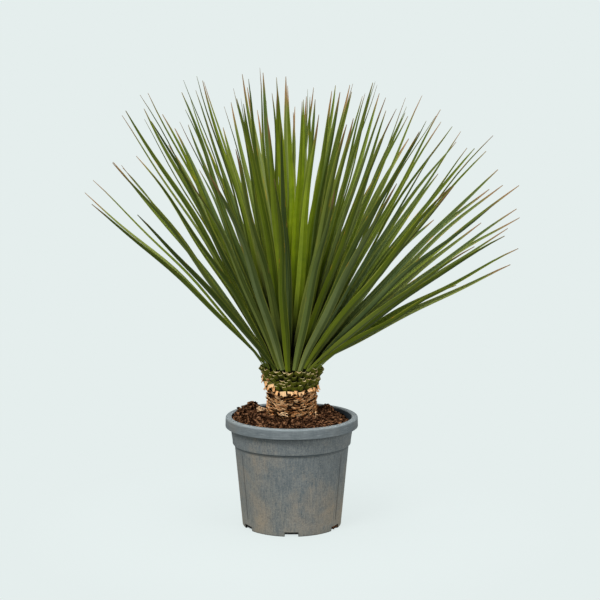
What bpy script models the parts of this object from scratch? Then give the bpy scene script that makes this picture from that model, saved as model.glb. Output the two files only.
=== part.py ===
# Potted nolina: a nursery pot, the soil in it, a stem with dry and green leaf bases, and a rosette of leaves.
# Metres, +Z up. The origin is on the pot's axis, under its central pad. The front of the plant faces -Y.
import math
import random

import bmesh
import bpy
from mathutils import Matrix, Vector, noise

SEED = 12
GAP = 0.0003
SHARP_ANGLE = math.radians(35)
TURN = math.radians(137.5)

# Pot: radii and heights of its outer side, from the mouth down
POT_HEIGHT = 0.200
RIM_RADIUS = 0.120
RIM_SKIRT = 0.018
MOUTH_RADIUS = 0.1087
WALL = 0.0024
COLLAR_FOOT_RADIUS = 0.1071
COLLAR_FOOT_Z = 0.1505
BODY_TOP_RADIUS = 0.1032
BODY_TOP_Z = 0.1455
FOOT_RADIUS = 0.0897
FOOT_WALL = 0.0034
FLOOR_Z = 0.0050
PAD_RADIUS = 0.020
EDGE = 0.0015
POT_STEPS = 48

# Drain notches in the foot: those at the sides have a shallow upright flute above them
NOTCH_COUNT = 6
NOTCH_WIDTH = 0.023
NOTCH_HEIGHT = 0.008
NOTCH_INNER_RADIUS = 0.070
NOTCH_SPREAD = 1.12
FLUTE_WIDTH = 0.024
FLUTE_DEPTH = 0.0009
FLUTE_BOTTOM_Z = 0.020
FLUTE_TOP_Z = 0.140
FLUTED_NOTCHES = (1, 2, 4, 5)
FLUTE_CUTTER_DEPTH = 0.020
FRONT = math.radians(-90)

# Soil
SOIL_EDGE_Z = 0.188
SOIL_MOUND_Z = 0.2045
SOIL_HEAP = (-0.077, 0.050, 0.022, 0.023)
SOIL_DIP = (0.072, 0.058, 0.030, -0.010)
SOIL_LUMP = 0.0042
SOIL_LUMP_PITCH = 0.013
SOIL_CALM_SHARE = 0.25
SOIL_STEPS = 30
SOIL_RINGS = 8

# Crumbs: large lumps that stand out of the soil, each a squashed and tipped ball
CRUMB_COUNT = 26
CRUMB_SIZE = (0.0034, 0.0062)
CRUMB_RISE = 0.2
CRUMB_STRETCH = ((0.8, 1.3), (0.7, 1.0), (0.6, 0.9))
CRUMB_TIP = 0.6
CRUMB_INNER_RADIUS = 0.056
CRUMB_OUTER_RADIUS = 0.0987

# Stem
HOLE_BOTTOM_Z = 0.150
STEM_RADIUS = 0.040
STEM_TOP_Z = 0.2515
STEM_STEPS = 24
BUTT_EDGE = 0.009
DRY_ROWS = 6
DRY_PER_ROW = 15
DRY_FIRST_Z = 0.2105
DRY_PITCH = 0.0068
DRY_LENGTH = (0.011, 0.017)
DRY_WIDTH = (0.0085, 0.0135)
DRY_THICKNESS = 0.0026
DRY_LEAN = (18.0, 40.0)
DRY_END_SHARE = (0.25, 0.75)
DRY_SLANT = 0.35
DRY_INSET = 0.0018
DRY_SPREAD = 0.0012
DRY_PLAY = 0.18

# Green collar of trimmed leaf bases
COLLAR_RADIUS = 0.0485
COLLAR_TOP_Z = 0.2930
STUB_ROWS = 5
STUB_PER_ROW = 19
STUB_FIRST_Z = 0.2572
STUB_PITCH = 0.0066
STUB_SPREAD = 0.0008
STUB_LENGTH = 0.0145
STUB_WIDTH = 0.0140
STUB_THICKNESS = 0.0036
STUB_INSET = 0.0035
STUB_END_SHARE = 0.86
STUB_LEAN = (26.0, 54.0)
STUB_TILT = 5.0
STUB_LENGTH_PLAY = (0.85, 1.12)
STUB_WIDTH_PLAY = (0.9, 1.1)
STUB_SLANT = 0.12
STUB_PLAY = 0.12

# Rosette: the stem carries on as a stack of short rings, and each ring bears one tier of leaves
RING_HEIGHT = 0.0060
LEAF_WIDTH = 0.0145
HEART_NARROWING = 0.72
LEAF_STATIONS = (0.0, 0.10, 0.42, 0.74, 1.0)
LEAF_SHAPE = ((0.0, 0.60), (0.10, 0.98), (0.42, 1.0), (0.74, 0.66), (1.0, 0.12))
BEND_POWER = 1.4
KEEL = 0.21
ROOT_INSET = 0.004

# How far the leaves of the tiers differ from one another: angles in degrees, the rest as shares
HEADING_PLAY = 0.28
LENGTH_PLAY = (0.93, 1.05)
WIDTH_PLAY = (0.86, 1.10)
BEND_PLAY = 1.6
SWAY = 5.0
TWIST = 38.0

# Tier: seed, number of leaves, least and greatest lean from its axis, the axis's own lean to +X, length,
# bend, ring radius
TIERS = {
    "lower_leaves": (252, 26, 37.0, 42.0, 5.0, 0.466, 7.5, 0.0480),
    "middle_leaves": (15, 26, 29.5, 34.5, 4.5, 0.488, 6.0, 0.0435),
    "upper_leaves": (62, 26, 22.5, 27.5, 3.0, 0.496, 5.0, 0.0380),
    "inner_leaves": (190, 22, 15.5, 20.5, 2.0, 0.488, 3.5, 0.0310),
    "innermost_leaves": (187, 16, 8.0, 13.5, 1.5, 0.478, 2.5, 0.0225),
    "heart_leaves": (75, 8, 1.0, 6.0, 1.5, 0.440, 1.0, 0.0125),
}

# The lowest tier is sparse, so each leaf is placed: heading from +X, lean from upright, length
LOWEST_RING_RADIUS = 0.0515
LOWEST_WIDTH_PLAY = (0.86, 1.04)
LOWEST_BEND = 9.0
LOWEST_BEND_PLAY = 1.5
LOWEST_SWAY = 3.0
LOWEST_TWIST = 30.0
LOWEST_LEAVES = (
    (-7, 55.0, 0.412), (6, 60.0, 0.392), (12, 51.5, 0.460), (-14, 49.5, 0.420), (-24, 50.5, 0.424),
    (3, 49.0, 0.452), (-30, 56.0, 0.316), (26, 53.0, 0.430), (-44, 53.0, 0.430), (46, 52.0, 0.430),
    (70, 49.0, 0.430), (95, 47.0, 0.425), (120, 45.0, 0.430), (146, 42.5, 0.440), (174, 44.0, 0.448),
    (187, 39.0, 0.448), (206, 43.5, 0.440), (228, 44.5, 0.425),
)


def clear_scene():
    for obj in list(bpy.data.objects):
        bpy.data.objects.remove(obj, do_unlink=True)


def new_collection(name):
    collection = bpy.data.collections.new(name)
    bpy.context.scene.collection.children.link(collection)
    return collection


def make_material(name, colour, roughness):
    material = bpy.data.materials.new(name)
    material.use_nodes = True
    shader = material.node_tree.nodes["Principled BSDF"]
    shader.inputs["Base Color"].default_value = (*colour, 1.0)
    shader.inputs["Roughness"].default_value = roughness
    shader.inputs["Metallic"].default_value = 0.0
    material.diffuse_color = (*colour, 1.0)
    return material


def add_object(name, mesh, collection, material=None):
    obj = bpy.data.objects.new(name, mesh)
    collection.objects.link(obj)
    if material:
        mesh.materials.clear()
        mesh.materials.append(material)
    return obj


def mesh_from(name, bm):
    mesh = bpy.data.meshes.new(name)
    bm.to_mesh(mesh)
    bm.free()
    return mesh


def settle(obj):
    """Replaces the object's mesh with its evaluated one and drops its modifiers."""
    bpy.context.view_layer.update()
    graph = bpy.context.evaluated_depsgraph_get()
    mesh = bpy.data.meshes.new_from_object(obj.evaluated_get(graph))
    obj.modifiers.clear()
    obj.data = mesh
    return obj


def turned(name, profile, steps, collection, material):
    """A profile of (radius, height) points, turned about Z and shaded smooth between its sharp edges."""
    bm = bmesh.new()
    points = [bm.verts.new((radius, 0.0, height)) for radius, height in profile]
    for first, second in zip(points, points[1:]):
        bm.edges.new((first, second))
    obj = add_object(name, mesh_from(name, bm), collection, material)
    screw = obj.modifiers.new("turn", "SCREW")
    screw.steps = screw.render_steps = steps
    screw.use_merge_vertices = True
    screw.merge_threshold = 0.0001
    settle(obj)
    obj.data.shade_smooth()
    obj.data.set_sharp_from_angle(angle=SHARP_ANGLE)
    return obj


def loft(name, sections):
    """A closed solid through sections that all have the same number of points, each counter-clockwise
    when looked at against the way that the loft runs."""
    bm = bmesh.new()
    rings = [[bm.verts.new(point) for point in section] for section in sections]
    bm.faces.new(reversed(rings[0]))
    bm.faces.new(rings[-1])
    for low, high in zip(rings, rings[1:]):
        for i in range(len(low)):
            k = (i + 1) % len(low)
            bm.faces.new((low[i], low[k], high[k], high[i]))
    bmesh.ops.recalc_face_normals(bm, faces=bm.faces)
    return mesh_from(name, bm)


def face_islands(bm):
    """The mesh's faces, in groups that hang together."""
    unseen = set(bm.faces)
    islands = []
    while unseen:
        island = {unseen.pop()}
        edge_of_search = list(island)
        while edge_of_search:
            face = edge_of_search.pop()
            for edge in face.edges:
                for other in edge.link_faces:
                    if other in unseen:
                        unseen.remove(other)
                        island.add(other)
                        edge_of_search.append(other)
        islands.append(island)
    return islands


def keep_main_body(obj):
    """Keeps the largest group of faces, so a sealed hollow is filled and a loose scrap is dropped."""
    bm = bmesh.new()
    bm.from_mesh(obj.data)
    islands = sorted(face_islands(bm), key=len)
    spare = [face for island in islands[:-1] for face in island]
    bmesh.ops.delete(bm, geom=spare, context="FACES")
    bm.to_mesh(obj.data)
    bm.free()


def unite(obj, pieces):
    """Joins every object of a collection into obj, then removes them with their collection."""
    union = obj.modifiers.new("union", "BOOLEAN")
    union.operation = "UNION"
    union.operand_type = "COLLECTION"
    union.collection = pieces
    union.solver = "MANIFOLD"
    settle(obj)
    for piece in list(pieces.objects):
        bpy.data.objects.remove(piece, do_unlink=True)
    bpy.data.collections.remove(pieces)
    keep_main_body(obj)
    return obj


def outward(heading):
    return Vector((math.cos(heading), math.sin(heading), 0.0))


def smooth_step(value):
    value = min(max(value, 0.0), 1.0)
    return value * value * (3.0 - 2.0 * value)


# Pot

def body_radius(z):
    """Outer radius of the tapered body."""
    return FOOT_RADIUS + (BODY_TOP_RADIUS - FOOT_RADIUS) * z / BODY_TOP_Z


def mouth_wall_radius(z):
    """Inner radius of the collar band, from its step up to the mouth."""
    low = COLLAR_FOOT_RADIUS - WALL
    return low + (MOUTH_RADIUS - low) * (z - COLLAR_FOOT_Z) / (POT_HEIGHT - COLLAR_FOOT_Z)


def pot_profile():
    floor_top = FLOOR_Z + WALL
    skirt_z = POT_HEIGHT - RIM_SKIRT
    lip_under = POT_HEIGHT - WALL - EDGE
    collar_top = MOUTH_RADIUS + WALL
    return [
        (0.0, WALL),
        (PAD_RADIUS - 2 * WALL, WALL),
        (PAD_RADIUS, floor_top),
        (body_radius(floor_top) - WALL, floor_top),
        (body_radius(BODY_TOP_Z) - WALL, BODY_TOP_Z),
        (COLLAR_FOOT_RADIUS - WALL, COLLAR_FOOT_Z),
        (MOUTH_RADIUS, POT_HEIGHT - EDGE),
        (MOUTH_RADIUS + EDGE / 2, POT_HEIGHT - EDGE / 3),
        (MOUTH_RADIUS + 1.5 * EDGE, POT_HEIGHT),
        (RIM_RADIUS - 2 * EDGE, POT_HEIGHT),
        (RIM_RADIUS - EDGE, POT_HEIGHT - EDGE / 2),
        (RIM_RADIUS - EDGE / 2, POT_HEIGHT - 2 * EDGE),
        (RIM_RADIUS, skirt_z),
        (RIM_RADIUS - WALL, skirt_z),
        (RIM_RADIUS - WALL - EDGE / 2, lip_under),
        (collar_top, lip_under),
        (COLLAR_FOOT_RADIUS, COLLAR_FOOT_Z + EDGE),
        (COLLAR_FOOT_RADIUS - EDGE / 2, COLLAR_FOOT_Z),
        (BODY_TOP_RADIUS + EDGE / 2, BODY_TOP_Z + EDGE),
        (BODY_TOP_RADIUS, BODY_TOP_Z),
        (body_radius(NOTCH_HEIGHT + EDGE), NOTCH_HEIGHT + EDGE),
        (body_radius(EDGE), EDGE),
        (FOOT_RADIUS - EDGE / 2, 0.0),
        (FOOT_RADIUS - FOOT_WALL, 0.0),
        (FOOT_RADIUS - FOOT_WALL, FLOOR_Z),
        (PAD_RADIUS + WALL, FLOOR_Z),
        (PAD_RADIUS, 0.0),
        (0.0, 0.0),
    ]


def add_cutter(name, size, centre, matrix, spread, cutters):
    """A box whose lower edges are spread apart sideways."""
    bm = bmesh.new()
    bmesh.ops.create_cube(bm, size=1.0)
    for vert in bm.verts:
        vert.co = Vector(side * length for side, length in zip(vert.co, size))
        if vert.co.z < 0.0:
            vert.co.y *= spread
        vert.co += centre
    bm.transform(matrix)
    cutter = add_object(name, mesh_from(name, bm), cutters)
    cutter.hide_render = True
    cutter.display_type = "WIRE"
    return cutter


def add_notches(cutters):
    depth = 2 * (RIM_RADIUS - NOTCH_INNER_RADIUS)
    height = 2 * NOTCH_HEIGHT
    centre = Vector((NOTCH_INNER_RADIUS + depth / 2, 0.0, 0.0))
    for i in range(NOTCH_COUNT):
        turn = Matrix.Rotation(FRONT + i * math.tau / NOTCH_COUNT, 4, "Z")
        add_cutter(f"notch_{i + 1}", (depth, NOTCH_WIDTH, height), centre, turn, NOTCH_SPREAD, cutters)


def add_flutes(cutters):
    taper = math.atan2(BODY_TOP_RADIUS - FOOT_RADIUS, BODY_TOP_Z)
    middle_z = (FLUTE_BOTTOM_Z + FLUTE_TOP_Z) / 2
    size = (FLUTE_CUTTER_DEPTH, FLUTE_WIDTH, (FLUTE_TOP_Z - FLUTE_BOTTOM_Z) / math.cos(taper))
    tilt = Matrix.Rotation(taper, 4, "Y")
    for i in FLUTED_NOTCHES:
        turn = Matrix.Rotation(FRONT + i * math.tau / NOTCH_COUNT, 4, "Z")
        place = Matrix.Translation((body_radius(middle_z), 0.0, middle_z))
        centre = Vector((FLUTE_CUTTER_DEPTH / 2 - FLUTE_DEPTH, 0.0, 0.0))
        add_cutter(f"flute_{i + 1}", size, centre, turn @ place @ tilt, 1.0, cutters)


def make_pot(collection, cutters):
    plastic = make_material("pot_plastic", (0.16, 0.21, 0.23), 0.62)
    pot = turned("pot", pot_profile(), POT_STEPS, collection, plastic)
    add_notches(cutters)
    add_flutes(cutters)
    cut = pot.modifiers.new("notches_and_flutes", "BOOLEAN")
    cut.operation = "DIFFERENCE"
    cut.operand_type = "COLLECTION"
    cut.collection = cutters
    return pot


# Soil

def bump(x, y, spot):
    centre_x, centre_y, spread, height = spot
    distance = math.hypot(x - centre_x, y - centre_y)
    return height * math.exp(-0.5 * (distance / spread) ** 2)


def soil_height(x, y):
    """Height of the soil: mounded round the stem, heaped at the back left, lower at the back right."""
    from_stem = (math.hypot(x, y) - STEM_RADIUS) / (MOUTH_RADIUS - STEM_RADIUS)
    clear = smooth_step(from_stem / SOIL_CALM_SHARE)
    level = SOIL_MOUND_Z + (SOIL_EDGE_Z - SOIL_MOUND_Z) * smooth_step(from_stem)
    lumps = noise.noise(Vector((x, y, 0.0)) / SOIL_LUMP_PITCH) * SOIL_LUMP
    return level + clear * (bump(x, y, SOIL_HEAP) + bump(x, y, SOIL_DIP) + lumps)


def soil_profile():
    """From the bottom of the stem's hole, up and out over the top, then down the pot's inside."""
    hole = STEM_RADIUS + GAP
    floor_top = FLOOR_Z + WALL + GAP
    edge = mouth_wall_radius(SOIL_EDGE_Z) - 2 * GAP
    top = [
        (hole + (edge - hole) * i / (SOIL_RINGS - 1), SOIL_EDGE_Z)
        for i in range(SOIL_RINGS)
    ]
    return [(0.0, HOLE_BOTTOM_Z), (hole, HOLE_BOTTOM_Z)] + top + [
        (COLLAR_FOOT_RADIUS - WALL - 2 * GAP, COLLAR_FOOT_Z + GAP),
        (BODY_TOP_RADIUS - WALL - 3 * GAP, BODY_TOP_Z - GAP),
        (body_radius(floor_top) - WALL - 2 * GAP, floor_top),
        (PAD_RADIUS - GAP, floor_top),
        (PAD_RADIUS - 2 * WALL - GAP, WALL + GAP),
        (0.0, WALL + GAP),
    ]


def raise_soil_top(obj):
    """Gives the flat rings their height, and keeps the outer ring clear of the pot's wall."""
    edge = mouth_wall_radius(SOIL_EDGE_Z) - 2 * GAP
    for vert in obj.data.vertices:
        if abs(vert.co.z - SOIL_EDGE_Z) > GAP / 2:
            continue
        radius = math.hypot(vert.co.x, vert.co.y)
        vert.co.z = soil_height(vert.co.x, vert.co.y)
        if radius > edge - GAP:
            wall = mouth_wall_radius(min(vert.co.z, SOIL_EDGE_Z)) - 2 * GAP
            vert.co.x *= wall / radius
            vert.co.y *= wall / radius


def add_crumbs(pieces):
    rng = random.Random(SEED)
    ring_area = CRUMB_OUTER_RADIUS**2 - CRUMB_INNER_RADIUS**2
    for i in range(CRUMB_COUNT):
        size = rng.uniform(*CRUMB_SIZE)
        spot = outward(i * TURN) * math.sqrt(CRUMB_INNER_RADIUS**2 + ring_area * (i + 0.5) / CRUMB_COUNT)
        spot.z = soil_height(spot.x, spot.y) + size * CRUMB_RISE
        bm = bmesh.new()
        bmesh.ops.create_icosphere(bm, subdivisions=1, radius=size)
        stretch = Matrix.Diagonal([rng.uniform(*limits) for limits in CRUMB_STRETCH] + [1.0])
        spin = Matrix.Rotation(rng.uniform(0.0, math.tau), 4, "Z")
        tip = Matrix.Rotation(rng.uniform(-CRUMB_TIP, CRUMB_TIP), 4, "X")
        bm.transform(Matrix.Translation(spot) @ spin @ tip @ stretch)
        add_object(f"crumb_{i + 1}", mesh_from("crumb", bm), pieces)


def make_soil(collection):
    earth = make_material("soil", (0.060, 0.026, 0.013), 0.95)
    soil = turned("soil", soil_profile(), SOIL_STEPS, collection, earth)
    raise_soil_top(soil)
    pieces = new_collection("crumbs")
    add_crumbs(pieces)
    return unite(soil, pieces)


# Stem and collar

def stub_sections(root, heading, lean, slant, length, width, thickness, end_share):
    """A short blade, flat inside and keeled outside, that leans out from upright and slants sideways."""
    side = Vector((-math.sin(heading), math.cos(heading), 0.0))
    rise = outward(heading) * math.sin(lean) + Vector((0.0, 0.0, math.cos(lean)))
    along = (rise + side * slant).normalized()
    across = (side - along * side.dot(along)).normalized()
    face = across.cross(along)
    end = root + along * length
    return [
        [middle + across * size / 2, middle - across * size / 2, middle + face * thickness]
        for middle, size in ((root, width), (end, width * end_share))
    ]


def dry_scale_sections(row, i, rng):
    """A torn leaf base: cut short where it would reach the green collar above."""
    heading = (i + 0.5 * (row % 2) + rng.uniform(-DRY_PLAY, DRY_PLAY)) * math.tau / DRY_PER_ROW
    lean = math.radians(rng.uniform(*DRY_LEAN))
    height = DRY_FIRST_Z + row * DRY_PITCH + rng.uniform(-DRY_SPREAD, DRY_SPREAD)
    room = (STEM_TOP_Z - DRY_SPREAD - height) / math.cos(lean)
    length = min(rng.uniform(*DRY_LENGTH), room)
    width = rng.uniform(*DRY_WIDTH)
    end_share = rng.uniform(*DRY_END_SHARE)
    slant = rng.uniform(-DRY_SLANT, DRY_SLANT)
    root = outward(heading) * (STEM_RADIUS - DRY_INSET)
    root.z = height
    return stub_sections(root, heading, lean, slant, length, width, DRY_THICKNESS, end_share)


def make_stem(collection):
    husk = make_material("dry_leaf_base", (0.30, 0.15, 0.06), 0.85)
    profile = [
        (0.0, STEM_TOP_Z), (STEM_RADIUS, STEM_TOP_Z), (STEM_RADIUS, HOLE_BOTTOM_Z + BUTT_EDGE),
        (STEM_RADIUS - BUTT_EDGE, HOLE_BOTTOM_Z + GAP), (0.0, HOLE_BOTTOM_Z + GAP),
    ]
    stem = turned("stem", profile, STEM_STEPS, collection, husk)
    pieces = new_collection("dry_scales")
    rng = random.Random(SEED + 1)
    for row in range(DRY_ROWS):
        for i in range(DRY_PER_ROW):
            sections = dry_scale_sections(row, i, rng)
            add_object(f"scale_{row}_{i}", loft("scale", sections), pieces)
    return unite(stem, pieces)


def add_stub_row(row, height, radius, lean, rng, pieces):
    """One row of trimmed leaf bases, half a step round from the row below."""
    for i in range(STUB_PER_ROW):
        heading = (i + 0.5 * (row % 2) + rng.uniform(-STUB_PLAY, STUB_PLAY)) * math.tau / STUB_PER_ROW
        tilt = math.radians(lean + rng.uniform(-STUB_TILT, STUB_TILT))
        length = STUB_LENGTH * rng.uniform(*STUB_LENGTH_PLAY)
        width = STUB_WIDTH * rng.uniform(*STUB_WIDTH_PLAY)
        slant = rng.uniform(-STUB_SLANT, STUB_SLANT)
        root = outward(heading) * (radius - STUB_INSET)
        root.z = height + rng.uniform(-STUB_SPREAD, STUB_SPREAD)
        sections = stub_sections(root, heading, tilt, slant, length, width, STUB_THICKNESS, STUB_END_SHARE)
        add_object(f"stub_{row}_{i}", loft("stub", sections), pieces)


def make_collar(collection):
    green = make_material("trimmed_leaf_base", (0.075, 0.115, 0.022), 0.6)
    foot_radius = STEM_RADIUS + STUB_THICKNESS
    profile = [
        (0.0, COLLAR_TOP_Z), (COLLAR_RADIUS, COLLAR_TOP_Z),
        (foot_radius, STEM_TOP_Z + GAP), (0.0, STEM_TOP_Z + GAP),
    ]
    collar = turned("leaf_base_collar", profile, STEM_STEPS, collection, green)
    pieces = new_collection("stubs")
    rng = random.Random(SEED + 2)
    for row in range(STUB_ROWS):
        share = row / STUB_ROWS
        height = STUB_FIRST_Z + row * STUB_PITCH
        radius = foot_radius + (COLLAR_RADIUS - foot_radius) * share
        lean = STUB_LEAN[0] + (STUB_LEAN[1] - STUB_LEAN[0]) * share
        add_stub_row(row, height, radius, lean, rng, pieces)
    return unite(collar, pieces)


# Leaves

def shape_at(share):
    """Width of a leaf at a share of its length, as a share of its full width."""
    for (low, first), (high, second) in zip(LEAF_SHAPE, LEAF_SHAPE[1:]):
        if share <= high:
            return first + (second - first) * (share - low) / (high - low)
    return LEAF_SHAPE[-1][1]


def leaf_direction(heading, lean, axis_lean):
    upright = outward(heading) * math.sin(lean) + Vector((0.0, 0.0, math.cos(lean)))
    return Matrix.Rotation(axis_lean, 3, "Y") @ upright


def leaf_sections(leaf):
    """Three-sided sections along the leaf: a flat inner face and a keel on the outer side."""
    point = leaf["root"].copy()
    sections = []
    before = 0.0
    for share in LEAF_STATIONS:
        middle = (share + before) / 2
        lean = leaf["lean"] + leaf["bend"] * middle**BEND_POWER
        heading = leaf["heading"] + leaf["sway"] * middle
        along = leaf_direction(heading, lean, leaf["axis_lean"])
        point = point + along * leaf["length"] * (share - before)
        before = share
        across = Vector((-math.sin(heading), math.cos(heading), 0.0))
        across = (across - along * across.dot(along)).normalized()
        across = Matrix.Rotation(leaf["twist"] * share, 3, along) @ across
        face = across.cross(along)
        width = leaf["width"] * shape_at(share)
        half = across * width / 2
        sections.append([point + half, point - half, point + face * width * KEEL])
    return sections


def tier_leaves(name, index):
    """The leaves of one tier, by rule: even headings with some play, and leans within the tier's band."""
    seed, count, least, most, axis_lean, length, bend, ring = TIERS[name]
    rng = random.Random(seed)
    full_width = LEAF_WIDTH * (HEART_NARROWING if name == "heart_leaves" else 1.0)
    return [
        {
            "heading": index * TURN + (i + rng.uniform(-HEADING_PLAY, HEADING_PLAY)) * math.tau / count,
            "lean": math.radians(rng.uniform(least, most)),
            "axis_lean": math.radians(axis_lean),
            "length": length * rng.uniform(*LENGTH_PLAY),
            "bend": math.radians(bend + rng.uniform(-BEND_PLAY, BEND_PLAY)),
            "sway": math.radians(rng.uniform(-SWAY, SWAY)),
            "twist": math.radians(rng.uniform(-TWIST, TWIST)),
            "width": full_width * rng.uniform(*WIDTH_PLAY),
            "ring": ring,
        }
        for i in range(count)
    ]


def lowest_leaves():
    rng = random.Random(SEED * 100)
    return [
        {
            "heading": math.radians(heading),
            "lean": math.radians(lean),
            "axis_lean": 0.0,
            "length": length,
            "bend": math.radians(LOWEST_BEND + rng.uniform(-LOWEST_BEND_PLAY, LOWEST_BEND_PLAY)),
            "sway": math.radians(rng.uniform(-LOWEST_SWAY, LOWEST_SWAY)),
            "twist": math.radians(rng.uniform(-LOWEST_TWIST, LOWEST_TWIST)),
            "width": LEAF_WIDTH * rng.uniform(*LOWEST_WIDTH_PLAY),
            "ring": LOWEST_RING_RADIUS,
        }
        for heading, lean, length in LOWEST_LEAVES
    ]


def make_tier(name, leaves, bottom, collection, material):
    ring = leaves[0]["ring"]
    profile = [(0.0, bottom + RING_HEIGHT), (ring, bottom + RING_HEIGHT), (ring, bottom), (0.0, bottom)]
    tier = turned(name, profile, STEM_STEPS, collection, material)
    pieces = new_collection(name + "_pieces")
    for i, leaf in enumerate(leaves):
        leaf["root"] = outward(leaf["heading"]) * (ring - ROOT_INSET)
        leaf["root"].z = bottom + RING_HEIGHT / 2
        add_object(f"{name}_{i + 1}", loft("leaf", leaf_sections(leaf)), pieces)
    if name == "lowest_leaves":
        rng = random.Random(SEED + 3)
        add_stub_row(STUB_ROWS, bottom + RING_HEIGHT - 2 * STUB_SPREAD, ring, STUB_LEAN[1], rng, pieces)
    return unite(tier, pieces)


def make_rosette(collection):
    green = make_material("leaf", (0.070, 0.110, 0.025), 0.5)
    young = make_material("young_leaf", (0.24, 0.34, 0.02), 0.5)
    bottom = COLLAR_TOP_Z + GAP
    make_tier("lowest_leaves", lowest_leaves(), bottom, collection, green)
    for index, name in enumerate(TIERS, start=1):
        bottom += RING_HEIGHT + GAP
        material = young if name == "heart_leaves" else green
        make_tier(name, tier_leaves(name, index), bottom, collection, material)


def main():
    clear_scene()
    nolina = new_collection("potted_nolina")
    cutters = new_collection("cutters")
    make_pot(nolina, cutters)
    make_soil(nolina)
    make_stem(nolina)
    make_collar(nolina)
    make_rosette(nolina)


main()
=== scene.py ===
import math
import random

import bmesh
import bpy
from mathutils import Matrix, Vector, noise


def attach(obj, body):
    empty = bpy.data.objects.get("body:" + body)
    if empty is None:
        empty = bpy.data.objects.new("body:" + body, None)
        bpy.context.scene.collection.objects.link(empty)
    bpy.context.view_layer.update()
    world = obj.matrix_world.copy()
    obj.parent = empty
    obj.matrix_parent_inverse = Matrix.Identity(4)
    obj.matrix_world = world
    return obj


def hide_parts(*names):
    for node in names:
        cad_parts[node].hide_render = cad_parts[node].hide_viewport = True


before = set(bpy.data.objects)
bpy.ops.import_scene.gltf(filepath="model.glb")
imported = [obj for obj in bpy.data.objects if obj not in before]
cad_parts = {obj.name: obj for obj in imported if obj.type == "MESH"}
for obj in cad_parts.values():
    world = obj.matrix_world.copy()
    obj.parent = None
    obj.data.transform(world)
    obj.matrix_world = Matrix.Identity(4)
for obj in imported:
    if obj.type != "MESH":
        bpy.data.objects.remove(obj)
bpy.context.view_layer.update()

print("frame loaded:", len(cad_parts), "nodes")

tau = math.tau
frontSide = math.radians(-90)  # the heading that faces the camera
seatGap = 0.0003  # left between pieces that rest on each other


# Small helpers

def outward(heading):
    return Vector((math.cos(heading), math.sin(heading), 0.0))


def sideways(heading):
    return Vector((-math.sin(heading), math.cos(heading), 0.0))


def ringPoint(heading, radius, height):
    point = outward(heading) * radius
    point.z = height
    return point


def leaningWay(heading, lean):
    return outward(heading) * math.sin(lean) + Vector((0.0, 0.0, math.cos(lean)))


def squareTo(side, way):
    return (side - way * side.dot(way)).normalized()


def blend(first, second, share):
    return first + (second - first) * share


def easeStep(value, low=0.0, high=1.0):
    share = min(max((value - low) / (high - low), 0.0), 1.0)
    return share * share * (3.0 - 2.0 * share)


def readCurve(stops, share):
    for (low, first), (high, second) in zip(stops, stops[1:]):
        if share <= high:
            return blend(first, second, (share - low) / (high - low))
    return stops[-1][1]


def headingGap(first, second):
    return (first - second + math.pi) % tau - math.pi


def swing(rng, reach):
    return rng.uniform(-reach, reach)


def drawFrom(rng, limits):
    return {key: rng.uniform(*pair) for key, pair in limits.items()}


# Shader helpers

def newMaterial(name):
    mat = bpy.data.materials.new(name)
    mat.use_nodes = True
    return mat, mat.node_tree, mat.node_tree.nodes["Principled BSDF"]


def feed(tree, socket, value):
    if isinstance(value, bpy.types.NodeSocket):
        tree.links.new(value, socket)
    else:
        socket.default_value = (*value, 1.0) if socket.type == "RGBA" else value


def addNode(tree, kind, inputs=(), **settings):
    made = tree.nodes.new("ShaderNode" + kind)
    for key, value in settings.items():
        setattr(made, key, value)
    for key, value in dict(inputs).items():
        feed(tree, made.inputs[key], value)
    return made


def readAttribute(tree, name):
    return addNode(tree, "Attribute", attribute_name=name).outputs["Fac"]


# takes its values in turn, from left to right
def doMath(tree, operation, first, *others):
    for second in others or (0.0,):
        first = addNode(tree, "Math", {0: first, 1: second}, operation=operation).outputs[0]
    return first


def remap(tree, value, low, high, toLow=0.0, toHigh=1.0):
    return addNode(tree, "MapRange", {0: value, 1: low, 2: high, 3: toLow, 4: toHigh}).outputs[0]


def distanceFrom(tree, value, middle):
    return doMath(tree, "ABSOLUTE", doMath(tree, "SUBTRACT", value, middle))


def joinAxes(tree, x, y, z=0.0):
    return addNode(tree, "CombineXYZ", {0: x, 1: y, 2: z}).outputs[0]


def vectorLength(tree, vector):
    return addNode(tree, "VectorMath", {0: vector}, operation="LENGTH").outputs[1]


def mixColour(tree, share, first, second, blendType="MIX"):
    made = addNode(tree, "Mix", data_type="RGBA", blend_type=blendType)
    for index, value in ((0, share), (6, first), (7, second)):
        feed(tree, made.inputs[index], value)
    return made.outputs[2]


# each tint: the name of a value, where it starts and ends, the share of the tint at its end, the tint
def addTints(tree, values, colour, tints, blendType="MIX"):
    for name, start, end, share, tint in tints:
        cover = remap(tree, values[name], start, end, 0.0, share)
        colour = mixColour(tree, cover, colour, tint, blendType)
    return colour


def noiseOn(tree, place, scale, detail=3.0, roughness=0.55, stretch=None, distortion=0.0):
    if stretch:
        place = addNode(tree, "Mapping", {"Vector": place, "Scale": stretch}).outputs[0]
    return addNode(
        tree, "TexNoise",
        {"Vector": place, "Scale": scale, "Detail": detail, "Roughness": roughness, "Distortion": distortion},
    ).outputs[0]


def objectPlace(tree):
    return addNode(tree, "TexCoord").outputs["Object"]


# the values that the tints of a look are laid by: attributes of the points, and noises
def readValues(tree, names, noises):
    place = objectPlace(tree)
    values = {name: readAttribute(tree, name) for name in names}
    for name, settings in noises.items():
        values[name] = noiseOn(tree, place, *settings)
    return values


def setFinish(tree, shader, colour, roughness, specular):
    feed(tree, shader.inputs["Base Color"], colour)
    feed(tree, shader.inputs["Roughness"], roughness)
    feed(tree, shader.inputs["Specular IOR Level"], specular)


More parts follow.
